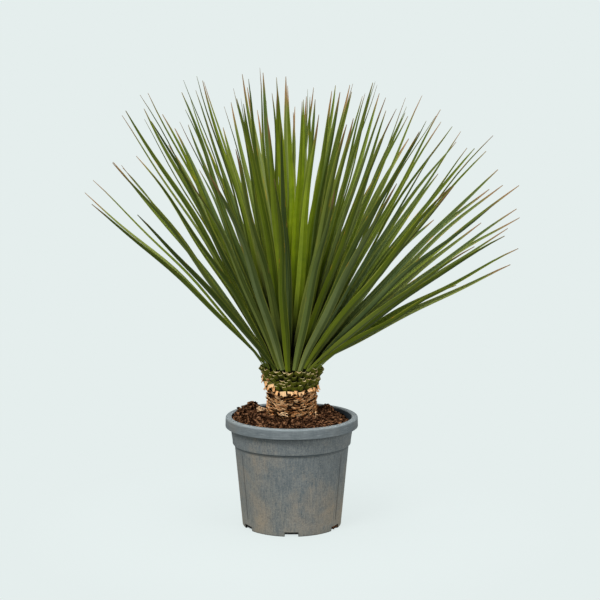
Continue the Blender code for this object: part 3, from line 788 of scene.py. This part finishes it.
# one trimmed leaf base: a crescent section drawn out along its way, with a clean cut at the end
def addStub(whole, one, rng):
    bm, (tone, rise, cut, dry) = startMesh(collar["layers"])
    made = bmesh.ops.create_circle(bm, cap_ends=True, radius=1.0, segments=collar["sides"])
    for vert in made["verts"]:
        depth = one["thickness"] * (1.0 if vert.co.y > 0.0 else one["hollow"])
        vert.co = Vector((vert.co.x * one["width"] / 2, depth * (1.0 - vert.co.x**2), 0.0))
    verts = list(made["verts"])
    cap = verts[0].link_faces[0]
    before = 0.0
    slope = swing(rng, 2)
    for share in (0.5, collar["cutShare"], 1.0):
        grown = bmesh.ops.extrude_face_region(bm, geom=[cap])["geom"]
        if before:
            bmesh.ops.delete(bm, geom=[cap], context="FACES_ONLY")
        cap = next(item for item in grown if isinstance(item, bmesh.types.BMFace))
        narrow = blend(1.0, collar["endShare"], share) / blend(1.0, collar["endShare"], before)
        bmesh.ops.scale(bm, vec=(narrow, 1.0, 1.0), verts=cap.verts)
        bmesh.ops.translate(bm, vec=(0.0, 0.0, one["length"] * (share - before)), verts=cap.verts)
        atEnd = share == 1.0
        for vert in cap.verts:
            vert[rise], vert[cut] = share, 1.0 if atEnd else 0.0
            uneven = swing(rng, 1) + slope * vert.co.x / one["width"]
            vert.co.z += uneven * one["ragged"] if atEnd else 0.0
        verts += list(cap.verts)
        before = share
    side = sideways(one["heading"])
    way = (leaningWay(one["heading"], one["lean"]) + side * one["slant"]).normalized()
    across = (side - way * side.dot(way) * one["square"]).normalized()
    face = side.cross(way).normalized()
    for vert in verts:
        vert.co = one["root"] + across * vert.co.x + face * vert.co.y + way * vert.co.z
        vert[tone], vert[dry] = one["tone"], one["dry"]
    bmesh.ops.recalc_face_normals(bm, faces=bm.faces)
    pourInto(whole, bm)


def addStubRow(bm, row, height, radius, lean, rng, looks):
    for i in range(collar["perRow"]):
        heading = (i + 0.5 * (row % 2) + swing(rng, collar["play"])) * tau / collar["perRow"]
        one = {
            "heading": heading, "lean": math.radians(lean + swing(rng, collar["tilt"])),
            "length": (
                collar["length"] * rng.uniform(*collar["lengthPlay"]) * looks.uniform(*collar["extraLength"])
            ),
            "width": collar["width"] * rng.uniform(*collar["widthPlay"]),
            "slant": swing(rng, collar["slant"]) - collar["fan"] * math.sin(2 * heading),
            "thickness": collar["thickness"] * looks.uniform(*collar["thicknessPlay"]),
            "hollow": collar["hollow"], "square": 0.0,
            "root": ringPoint(heading, radius - collar["inset"], height + swing(rng, collar["spread"])),
        }
        beside = abs(math.cos(heading)) > collar["besideTop"]
        if row == collar["rows"] - 1 and (beside or looks.random() < collar["topSkip"]):
            continue
        peeled = abs(headingGap(heading, collar["peelHeading"])) < collar["peelSpread"][min(row, 4)]
        one["dry"] = 1.0 if peeled and looks.random() < collar["peelShare"] else 0.0
        one["tone"] = looks.random()
        one["ragged"] = collar["raggedPeel"] if one["dry"] else collar["ragged"]
        addStub(bm, one, looks)


def makeCollar(material):
    bm = startMesh(collar["layers"])[0]
    foot, radius, low, top = collar["footRadius"], collar["radius"], stem["top"] + seatGap, collar["top"]
    turnProfile(bm, [(0.0, top), (radius, top), (foot, low), (0.0, low)], collar["steps"])
    rng, looks = random.Random(collar["seed"]), random.Random(collar["lookSeed"])
    for row in range(collar["rows"]):
        share = row / collar["rows"]
        height = collar["firstHeight"] + row * collar["pitch"]
        addStubRow(bm, row, height, blend(foot, radius, share), blend(*collar["lean"], share), rng, looks)
    for height, radius, lean, row in collar["fillRows"]:
        addStubRow(bm, row, height, radius, lean, looks, looks)
    finishPiece("collarStubs", bm, material, ["leaf_base_collar"], sharpAngle=35)


# torn tabs under the collar, and loose straw on the soil
loose = {
    "seed": 8,
    # degrees, height, distance out, width, length, slant, tone
    "frontTabs": (
        (238, 0.253, 0.0476, 0.0044, 0.0075, 0.1, 0.9),
        (251, 0.253, 0.048, 0.0105, 0.01, -0.1, 1.1),
        (268, 0.2532, 0.048, 0.011, 0.006, 0.1, 0.95),
        (279, 0.2545, 0.0476, 0.005, 0.006, 0.1, 0.7),
        (291, 0.252, 0.0482, 0.011, 0.006, -0.12, 1.05),
        (311, 0.256, 0.049, 0.0105, 0.0055, -0.2, 0.95),
        (325, 0.257, 0.049, 0.007, 0.007, 0.2, 0.8),
        (338, 0.26, 0.05, 0.006, 0.011, -0.2, 0.75),
        (228, 0.2595, 0.049, 0.0065, 0.008, -0.35, 0.45),
        (222, 0.2636, 0.0506, 0.015, 0.0085, -0.3, 1.0),
        (206, 0.2675, 0.0518, 0.012, 0.0085, -0.15, 0.85),
        (194, 0.2735, 0.0527, 0.007, 0.0055, 0.1, 1.05),
        (212, 0.257, 0.049, 0.008, 0.006, 0.25, 0.4),
        (188, 0.268, 0.052, 0.006, 0.0065, 0.4, 0.75),
    ),
    # the tabs at the back and every tab's own form are drawn from these limits
    "backTabs": 15, "backRadius": 0.0478, "backHeading": 75.0, "backSpread": 118.0,
    "backLimits": {
        "shift": (-0.4, 0.4), "height": (0.252, 0.257), "width": (0.0045, 0.011), "length": (0.005, 0.0085),
        "slant": (-0.3, 0.3), "tone": (0.6, 1.05),
    },
    "tabLimits": {
        "lean": (158, 178), "tone": (0.62, 0.9), "narrowing": (-0.2, 0.6), "curl": (-0.0025, 0.0005),
    },
    "tab": {"thickness": 0.0009, "ragged": 0.004, "riseFrom": 0.95, "bow": -0.4, "strips": 4},
    # degrees, distance out, count, length
    "straw": (
        (183, 0.056, 16, 0.008), (254, 0.0545, 4, 0.011), (318, 0.06, 3, 0.007), (75, 0.062, 5, 0.009),
    ),
    "spotLimits": {"degrees": (-9, 9), "radius": (-0.006, 0.006)}, "strawRise": (0.006, 0.0125),
    "strawLimits": {
        "heading": (0, tau), "lean": (60, 100), "width": (0.001, 0.002), "length": (0.6, 1.2),
        "slant": (-0.6, 0.6), "tone": (1.0, 1.4),
    },
    "stalk": {"thickness": 0.0006, "ragged": 0.0002, "riseFrom": 1.1, "strips": 2},
}


def backTabs(rng):
    for i in range(loose["backTabs"]):
        one = drawFrom(rng, loose["backLimits"])
        share = (i + one.pop("shift")) / (loose["backTabs"] - 1) * 2.0 - 1.0
        degrees = loose["backHeading"] + share * loose["backSpread"]
        yield (degrees, one.pop("height"), loose["backRadius"], *one.values())


def makeTornTabs(material):
    rng = random.Random(loose["seed"])
    bm = startMesh(husk["layers"])[0]
    for degrees, height, radius, width, length, slant, tone in [*loose["frontTabs"], *backTabs(rng)]:
        one = {**loose["tab"], **drawFrom(rng, loose["tabLimits"])}
        heading = math.radians(degrees)
        one.update(heading=heading, width=width, length=length, slant=slant, tone=tone * one["tone"])
        one.update(lean=math.radians(one["lean"]), root=ringPoint(heading, radius, height))
        addHusk(bm, one, rng)
    for degrees, radius, count, length in loose["straw"]:
        for i in range(count):
            shift = drawFrom(rng, loose["spotLimits"])
            spot = outward(math.radians(degrees + shift["degrees"])) * (radius + shift["radius"])
            spot.z = soilLevel(spot.x, spot.y) + rng.uniform(*loose["strawRise"])
            one = {**loose["stalk"], **drawFrom(rng, loose["strawLimits"])}
            one.update(lean=math.radians(one["lean"]), length=length * one["length"], root=spot)
            addHusk(bm, one, rng)
    finishPiece("tornTabs", bm, material, (), sharpAngle=50)


# Leaves

leaf = {
    "width": 0.0145, "heartNarrowing": 0.72, "thickness": 0.0008, "segmentsAcross": 4, "segmentsAlong": 20,
    "rowPower": 1.25, "innerWidth": ((0.0125, 1.42), (0.0225, 1.15), (0.031, 1.0)),
    "shape": (
        (0.0, 0.6), (0.05, 0.84), (0.1, 0.98), (0.25, 1.02), (0.4, 0.97), (0.55, 0.83), (0.7, 0.63),
        (0.84, 0.42), (0.94, 0.23), (1.0, 0.06),
    ),
    "keel": 0.21, "keelPower": 1.2, "footKeel": 0.75, "bendPower": 1.4, "wave": 0.0028, "waves": (1.2, 1.7),
    "waveReach": 0.6, "turn": math.radians(137.5), "rootInset": 0.004,
    "headingPlay": 0.28, "lengthPlay": (0.93, 1.05), "widthPlay": (0.86, 1.1), "bendPlay": 1.6,
    "sway": 5.0, "twist": 38.0, "outerTwist": 18.0, "outerRing": 0.047, "forwardFrom": -0.38,
    "rollRight": math.radians(14), "rollLeft": math.radians(22), "rollReach": (0.02, 0.26),
    "outerRollRight": math.radians(40), "outerRollLeft": math.radians(16),
    # the outer leaves reach down to the trimmed bases
    "deepReach": 0.07, "deepBlend": 0.098, "deepRoot": (0.288, 0.295), "deepWidth": 0.63, "footShift": 0.26,
    "deepRadius": {"lower_leaves": 0.0505, "lowest_leaves": 0.0512}, "footBulge": 0.0012,
    # the bright young look gathers where the rosette faces the camera
    "lookSeed": 9, "brightSide": 0.02, "brightFocus": 44, "heartFocus": 2, "youthPlay": (0.7, 1.0),
    "leastYouth": 0.08, "shadeFrom": 0.02, "layers": ("across", "along", "tone", "young", "shade"),
    "look": {
        "noises": {"cloud": (22.0, 3.0, 0.6)},
        "olive": ((0.076, 0.118, 0.008), (("cloud", 0.3, 0.7, 1.0, (0.162, 0.212, 0.018)),)),
        "grey": ((0.074, 0.122, 0.04), (("cloud", 0.3, 0.7, 1.0, (0.134, 0.188, 0.074)),)),
        "bright": ((0.2, 0.3, 0.004), (("cloud", 0.3, 0.7, 1.0, (0.43, 0.56, 0.008)),)),
        "perLeaf": (
            ("ownLook", 0.42, 0.92, 0.75, (0.036, 0.058, 0.005)),
            ("ownLook", 0.36, 0.0, 0.65, (0.285, 0.33, 0.105)),
            ("ownTint", 0.62, 0.8, 0.65, (0.15, 0.205, 0.005)),
        ),
        # these two multiply: a lighter foot, painted light where the foot lies in the shade of the upper
        # leaves, and a darker end
        "lengthwise": (
            ("along", 0.42, 0.04, 1.0, (1.4, 1.3, 1.2)), ("along", 0.4, 0.85, 1.0, (0.72, 0.7, 0.56)),
        ),
        # one half of each folded leaf is darker: painted shade
        "shadedHalf": (("across", -0.12, 0.12, 0.68, (0.032, 0.054, 0.004)),),
        "runs": (
            ("runs", 0.52, 0.72, 0.5, (0.22, 0.255, 0.06)), ("runs", 0.46, 0.28, 0.6, (0.026, 0.042, 0.003)),
        ),
        # the pale margin is partly the leaf's own paler edge and partly a painted highlight along the edges
        "margin": (0.33, 0.34, 0.04), "rust": (0.48, 0.25, 0.02),
        "ends": (
            ("pastTip", 0.0, 0.07, 0.85, (0.23, 0.125, 0.055)),
            ("shade", 0.0, 1.0, 1.0, (0.003, 0.005, 0.001)),
        ),
        "veins": (("veins", 0.0, 1.0, 0.3, (0.7, 0.74, 0.55)),),
        "limits": {
            "pastTip": (0.0, 1.0, 0.86, 0.98), "grey": (0.4, 0.6), "fresh": (0.62, 0.92, 1.0, 0.3),
            "margin": (0.78, 0.98), "marginRuns": (0.4, 0.62, 0.0, 0.7), "rust": (0.62, 0.69),
            "rustEdge": (0.55, 0.9), "rustAge": (0.0, 0.5, 0.85, 0.0), "rustAlong": (0.3, 0.65, 0.08, 1.0),
        },
    },
}

# seed, leaves, least and greatest lean, the axis's own lean to +X, length, bend, ring radius
tiers = {
    "lower_leaves": (252, 26, 37.0, 42.0, 5.0, 0.466, 7.5, 0.048),
    "middle_leaves": (15, 26, 29.5, 34.5, 4.5, 0.488, 6.0, 0.0435),
    "upper_leaves": (62, 26, 22.5, 27.5, 3.0, 0.496, 5.0, 0.038),
    "inner_leaves": (190, 22, 15.5, 20.5, 2.0, 0.488, 3.5, 0.031),
    "innermost_leaves": (187, 16, 8.0, 13.5, 1.5, 0.478, 2.5, 0.0225),
    "heart_leaves": (75, 8, 1.0, 6.0, 1.5, 0.44, 1.0, 0.0125),
}
lowest = {
    "ring": 0.0515, "seed": 1200, "bend": 9.0, "bendPlay": 1.5, "sway": 3.0, "twist": 16.0,
    "widthPlay": (0.9, 1.08),
    # heading and lean in degrees, length
    "leaves": (
        (-7, 55.0, 0.412), (6, 60.0, 0.392), (12, 51.5, 0.46), (-14, 49.5, 0.42), (-24, 50.5, 0.424),
        (3, 49.0, 0.452), (-30, 56.0, 0.316), (26, 53.0, 0.43), (-44, 53.0, 0.43), (46, 52.0, 0.43),
        (70, 49.0, 0.43), (95, 47.0, 0.425), (120, 45.0, 0.43), (146, 42.5, 0.44), (174, 44.0, 0.448),
        (187, 39.0, 0.448), (206, 43.5, 0.44), (228, 44.5, 0.425),
    ),
}
# how young each tier looks, how deep the painted shade at its foot is, and how far up that reaches
tierLooks = {
    "lowest_leaves": (0.0, 0.1, 0.15), "lower_leaves": (0.0, 0.12, 0.15), "middle_leaves": (0.0, 1.15, 0.19),
    "upper_leaves": (0.6, 1.2, 0.34), "inner_leaves": (0.75, 1.2, 0.44),
    "innermost_leaves": (0.9, 1.2, 0.42), "heart_leaves": (1.0, 1.1, 0.4),
}
# the core of the crown, which shows between the feet of the leaves; its low rise gives it the near-black root
# colour of the stub look, a painted shade
core = {"ringHeight": 0.006, "inset": 0.004, "taper": 0.0008, "steps": 48, "tone": 0.2, "rise": 0.42}


def describeLeaf(rng, play, heading, lean, length, bend, width, ring, axisLean=0.0):
    return {
        "heading": heading, "lean": math.radians(lean), "axisLean": math.radians(axisLean), "length": length,
        "bend": math.radians(bend + swing(rng, play["bendPlay"])),
        "sway": math.radians(swing(rng, play["sway"])),
        "twist": math.radians(swing(rng, play["twist"])),
        "width": width * rng.uniform(*play["widthPlay"]), "ring": ring,
    }


def tierLeaves(name, index):
    seed, count, least, most, axisLean, length, bend, ring = tiers[name]
    rng = random.Random(seed)
    width = leaf["width"] * (leaf["heartNarrowing"] if name == "heart_leaves" else 1.0)
    play = {**leaf, "twist": leaf["outerTwist"] if ring > leaf["outerRing"] else leaf["twist"]}
    return [
        describeLeaf(
            rng, play, index * leaf["turn"] + (i + swing(rng, leaf["headingPlay"])) * tau / count,
            rng.uniform(least, most), length * rng.uniform(*leaf["lengthPlay"]), bend, width, ring, axisLean,
        )
        for i in range(count)
    ]


def lowestLeaves():
    rng = random.Random(lowest["seed"])
    return [
        describeLeaf(
            rng, lowest, math.radians(heading), lean, length, lowest["bend"], leaf["width"], lowest["ring"],
        )
        for heading, lean, length in lowest["leaves"]
    ]


def bladeWay(one, share):
    lean = one["lean"] + one["bend"] * share ** leaf["bendPower"]
    heading = one["heading"] + one["sway"] * share
    return heading, Matrix.Rotation(one["axisLean"], 3, "Y") @ leaningWay(heading, lean)


def rowShare(row):
    return (row / leaf["segmentsAlong"]) ** leaf["rowPower"]


# leaves at the sides turn a face to the camera: the upper one,
# or the underside where an outer leaf leans towards the camera
def sideRoll(one):
    facing = math.cos(one["heading"])
    if one["ring"] > leaf["outerRing"]:
        turnedOver = math.sin(one["heading"]) < leaf["forwardFrom"]
        roll = leaf["outerRollRight"] if facing > 0.0 else leaf["outerRollLeft"]
        return facing * roll * (-1 if turnedOver else 1)
    return facing * (leaf["rollRight"] if facing > 0.0 else leaf["rollLeft"])


def bladeStations(one, phase):
    point = one["root"].copy()
    stations = []
    before = 0.0
    slow, quick = leaf["waves"]
    for row in range(leaf["segmentsAlong"] + 1):
        share = rowShare(row)
        heading, way = bladeWay(one, (share + before) / 2)
        point = point + way * one["length"] * (share - before)
        before = share
        roll = easeStep(share, *leaf["rollReach"]) * sideRoll(one) + one["twist"] * share
        side = Matrix.Rotation(roll, 3, way) @ squareTo(sideways(heading), way)
        face = side.cross(way)
        wave = side * math.sin(tau * (slow * share + phase)) + face * math.sin(tau * (quick * share - phase))
        wave *= leaf["wave"] * easeStep(share, 0.0, leaf["waveReach"])
        stations.append((point + wave, side, face))
    return stations


# bends the foot of a blade down to its deeper root
def deepenFoot(one, stations):
    heading = one["heading"]
    shift = leaf["footShift"] * math.cos(heading) * math.copysign(1.0, math.sin(heading))
    start = ringPoint(heading + shift, one["deepRadius"], one["deepRoot"])
    middle = ringPoint(heading + shift / 2, one["deepRadius"] + leaf["footBulge"], one["root"].z)
    last = next(row for row in range(len(stations)) if rowShare(row) > leaf["deepReach"])
    end = stations[last][0]
    for row in range(last):
        share = rowShare(row) / rowShare(last)
        low, high = start.lerp(middle, share), middle.lerp(end, share)
        way = (high - low).normalized()
        side = squareTo(sideways(heading), way)
        stations[row] = (low.lerp(high, share), side, side.cross(way))


# one leaf: a grid folded to a keeled trough, then given its thickness
def addBlade(whole, one, look, rng):
    bm, layers = startMesh(leaf["layers"])
    rows = leaf["segmentsAlong"]
    stations = bladeStations(one, rng.random())
    if "deepRoot" in one:
        deepenFoot(one, stations)
    tone, young, depth, shadeReach = look
    made = bmesh.ops.create_grid(bm, x_segments=leaf["segmentsAcross"], y_segments=rows, size=1.0)
    for vert in made["verts"]:
        across, row = vert.co.x, round((vert.co.y + 1.0) / 2 * rows)
        share = rowShare(row)
        point, side, face = stations[row]
        width = one["width"] * readCurve(leaf["shape"], share) * readCurve(leaf["innerWidth"], one["ring"])
        if "deepRoot" in one:
            width = blend(one["width"] * leaf["deepWidth"], width, easeStep(share, 0.0, leaf["deepBlend"]))
        fold = (1.0 - abs(across) ** leaf["keelPower"]) * leaf["keel"] * blend(leaf["footKeel"], 1.0, share)
        vert.co = point + side * (across * width / 2) + face * (width * fold)
        shade = depth * (1.0 - easeStep(share, leaf["shadeFrom"], shadeReach))
        for layer, value in zip(layers, (across, share, tone, young, shade)):
            vert[layer] = value
    bmesh.ops.solidify(bm, geom=list(bm.faces), thickness=leaf["thickness"])
    bmesh.ops.recalc_face_normals(bm, faces=bm.faces)
    pourInto(whole, bm)


def makeBladeMaterial():
    mat, tree, shader = newMaterial("leafBlade")
    look, limits = leaf["look"], leaf["look"]["limits"]
    values = readValues(tree, leaf["layers"], look["noises"])
    across, along, tone, young = [values[name] for name in ("across", "along", "tone", "young")]
    edge = doMath(tree, "ABSOLUTE", across)
    # each leaf draws its own look, tint and place in the noises from its tone
    ownLook, ownTint = [doMath(tree, "FRACT", doMath(tree, "MULTIPLY", tone, many)) for many in (7.3, 17.1)]
    ownPlace = doMath(tree, "MULTIPLY", tone, 61.0)
    drawnOut = joinAxes(
        tree, doMath(tree, "MULTIPLY", across, 3.0), doMath(tree, "MULTIPLY", along, 1.4), ownPlace,
    )
    runs = noiseOn(tree, drawnOut, 2.2, 4.0, 0.6)
    spots = joinAxes(tree, across, doMath(tree, "MULTIPLY", along, 9.0), ownPlace)
    rust = noiseOn(tree, spots, 1.6, 3.0, 0.6)
    pastTip = doMath(tree, "SUBTRACT", along, remap(tree, ownLook, *limits["pastTip"]))
    veins, ribs = [doMath(tree, "SINE", doMath(tree, "MULTIPLY", across, many)) for many in (34.0, 9.0)]
    values.update(ownLook=ownLook, ownTint=ownTint, runs=runs, pastTip=pastTip, veins=veins)

    olive, grey, bright = [addTints(tree, values, *look[name]) for name in ("olive", "grey", "bright")]
    colour = mixColour(tree, remap(tree, tone, *limits["grey"]), olive, grey)
    colour = addTints(tree, values, colour, look["perLeaf"])
    colour = addTints(tree, values, colour, look["lengthwise"], "MULTIPLY")
    colour = addTints(tree, values, colour, look["shadedHalf"])
    fresh = doMath(tree, "MULTIPLY", young, remap(tree, along, *limits["fresh"]))
    colour = addTints(tree, values, mixColour(tree, fresh, colour, bright), look["runs"])
    # pale margin along the edges: partly the leaf's own colour, partly a painted highlight
    margin = remap(tree, edge, *limits["margin"])
    margin = doMath(tree, "MULTIPLY", margin, remap(tree, runs, *limits["marginRuns"]))
    colour = mixColour(tree, margin, colour, look["margin"])
    # rusty spots near the edges, more of them towards the end, fewer on young leaves
    rusty = doMath(
        tree, "MULTIPLY", remap(tree, rust, *limits["rust"]), remap(tree, edge, *limits["rustEdge"]),
        remap(tree, young, *limits["rustAge"]), remap(tree, along, *limits["rustAlong"]),
    )
    colour = addTints(tree, values, mixColour(tree, rusty, colour, look["rust"]), look["ends"])
    colour = addTints(tree, values, colour, look["veins"], "MULTIPLY")
    setFinish(tree, shader, colour, 0.55, 0.11)
    addBump(tree, shader, ribs, 0.12, 0.0004)
    return mat


def makeTier(name, leaves, bottom, material, rng):
    youth, *depth = tierLooks[name]
    inHeart = name == "heart_leaves"
    bm = startMesh(leaf["layers"])[0]
    height = bottom + core["ringHeight"] / 2
    for one in leaves:
        one["root"] = ringPoint(one["heading"], one["ring"] - leaf["rootInset"], height)
        facing = 0.5 + 0.5 * math.cos(headingGap(one["heading"], frontSide + leaf["brightSide"]))
        facing **= leaf["heartFocus"] if inHeart else leaf["brightFocus"]
        tone = rng.random()
        young = youth * rng.uniform(*leaf["youthPlay"]) * blend(leaf["leastYouth"], 1.0, facing)
        if name in leaf["deepRadius"]:
            one["deepRoot"] = rng.uniform(*leaf["deepRoot"])
            one["deepRadius"] = leaf["deepRadius"][name]
        addBlade(bm, one, (tone, young, *depth), rng)
    first, last = name.split("_")
    finishPiece(first + last.capitalize(), bm, material, [name], sharpAngle=20)


def makeCrownCore(material):
    bm, (tone, rise) = startMesh(husk["layers"])
    bottom = collar["top"] + seatGap
    profile = [(0.0, bottom)]
    for ring in [lowest["ring"]] + [tier[-1] for tier in tiers.values()]:
        ring -= core["inset"]
        profile += [(ring, bottom), (ring - core["taper"], bottom + core["ringHeight"])]
        bottom += core["ringHeight"] + seatGap
    profile.append((0.0, profile[-1][1]))
    turnProfile(bm, profile, core["steps"])
    for vert in bm.verts:
        vert[tone], vert[rise] = core["tone"], core["rise"]
    finishPiece("crownCore", bm, material, (), sharpAngle=35)


def makeRosette(material):
    rng = random.Random(leaf["lookSeed"])
    bottom = collar["top"] + seatGap
    for index, name in enumerate(tierLooks):
        leaves = tierLeaves(name, index) if name in tiers else lowestLeaves()
        makeTier(name, leaves, bottom, material, rng)
        bottom += core["ringHeight"] + seatGap


# Floor, light and camera

studio = {
    "backdrop": (0.7835, 0.855, 0.8469), "ambient": 0.46, "ambientColour": (0.97, 0.985, 1.0),
    "floorColour": (0.66, 0.725, 0.718), "floorRadius": 4.0, "floorGlow": 0.45,
    # the dark patch under the pot: where it lies, one over each of its reaches, and how its edge fades
    "shadeCentre": (0.0, -0.08, 0.0), "shadeScale": (11.17, 12.35, 1.0), "shadeEdge": (0.97, 1.02),
    "nearFade": (0.1, 0.5, 0.88, 1.0),
    "camera": (0.015, -2.6, 0.758), "tilt": 7.6, "lens": 87.78, "sensor": 36,
    # where each light stands, the height that it aims at, its size and its watts
    "lights": {
        "keyLight": ((-1.3, -2.0, 2.7), 0.4, 1.2, 88),
        "fillLight": ((2.2, -1.9, 1.5), 0.4, 1.6, 32),
        "topLight": ((0.1, 0.0, 2.8), 0.3, 1.4, 52),
    },
}


def addSoftbox(name, spot, aimHeight, size, watts):
    light = bpy.data.lights.new(name, "AREA")
    light.shape = "SQUARE"
    light.size = size
    light.energy = watts
    obj = linkObject(name, light)
    obj.location = spot
    obj.rotation_euler = (Vector((0, 0, aimHeight)) - Vector(spot)).to_track_quat("-Z", "Y").to_euler()


# the camera sees the plain backdrop, and the object is lit by a dimmer one
def makeBackdrop():
    world = bpy.data.worlds.new("studio")
    bpy.context.scene.world = world
    world.use_nodes = True
    tree = world.node_tree
    shown = addNode(tree, "Background", {"Color": studio["backdrop"], "Strength": 1.0})
    lit = addNode(tree, "Background", {"Color": studio["ambientColour"], "Strength": studio["ambient"]})
    seen = addNode(tree, "LightPath").outputs["Is Camera Ray"]
    mixed = addNode(tree, "MixShader", {0: seen, 1: lit.outputs[0], 2: shown.outputs[0]})
    tree.links.new(mixed.outputs[0], tree.nodes["World Output"].inputs[0])


# the floor matches the backdrop to the camera, gives the object less light, and stays dark under the pot
def makeFloor():
    bm = bmesh.new()
    bmesh.ops.create_circle(bm, cap_ends=True, radius=studio["floorRadius"], segments=96)
    mat, tree, shader = newMaterial("paleFloor")
    setFinish(tree, shader, studio["floorColour"], 0.9, 0.0)
    place = objectPlace(tree)
    seen = addNode(tree, "LightPath").outputs["Is Camera Ray"]
    strength = remap(tree, seen, 0.0, 1.0, studio["floorGlow"], 1.0)
    glow = addNode(tree, "Emission", {"Color": studio["backdrop"], "Strength": strength})
    shade = {"Vector": place, "Location": studio["shadeCentre"], "Scale": studio["shadeScale"]}
    under = vectorLength(tree, addNode(tree, "Mapping", shade).outputs[0])
    fade = remap(tree, vectorLength(tree, place), *studio["nearFade"])
    fade = doMath(tree, "MULTIPLY", fade, remap(tree, under, *studio["shadeEdge"]))
    mixed = addNode(tree, "MixShader", {0: fade, 1: shader.outputs[0], 2: glow.outputs[0]})
    tree.links.new(mixed.outputs[0], tree.nodes["Material Output"].inputs[0])
    mesh = makeMesh("paleFloor", bm)
    mesh.materials.append(mat)
    floor = linkObject("paleFloor", mesh)


def makeStudio():
    bpy.context.scene.view_settings.view_transform = "Standard"
    makeBackdrop()
    makeFloor()
    for name, light in studio["lights"].items():
        addSoftbox(name, *light)
    camera = bpy.data.cameras.new("photoCamera")
    camera.lens = studio["lens"]
    camera.sensor_width = studio["sensor"]
    camera.dof.use_dof = False
    obj = linkObject("photoCamera", camera)
    obj.location = studio["camera"]
    obj.rotation_euler = (math.radians(90 - studio["tilt"]), 0, 0)
    bpy.context.scene.camera = obj
    print("studio done")


makePot()
soilMaterial = makeSoilMaterial()
makeSoilBed(soilMaterial)
makeSoilCrumbs(soilMaterial)
huskMaterial = makeHuskMaterial()
makeStem(huskMaterial)
makeTornTabs(huskMaterial)
stubMaterial = makeStubMaterial()
makeCollar(stubMaterial)
makeCrownCore(stubMaterial)
makeRosette(makeBladeMaterial())
makeStudio()
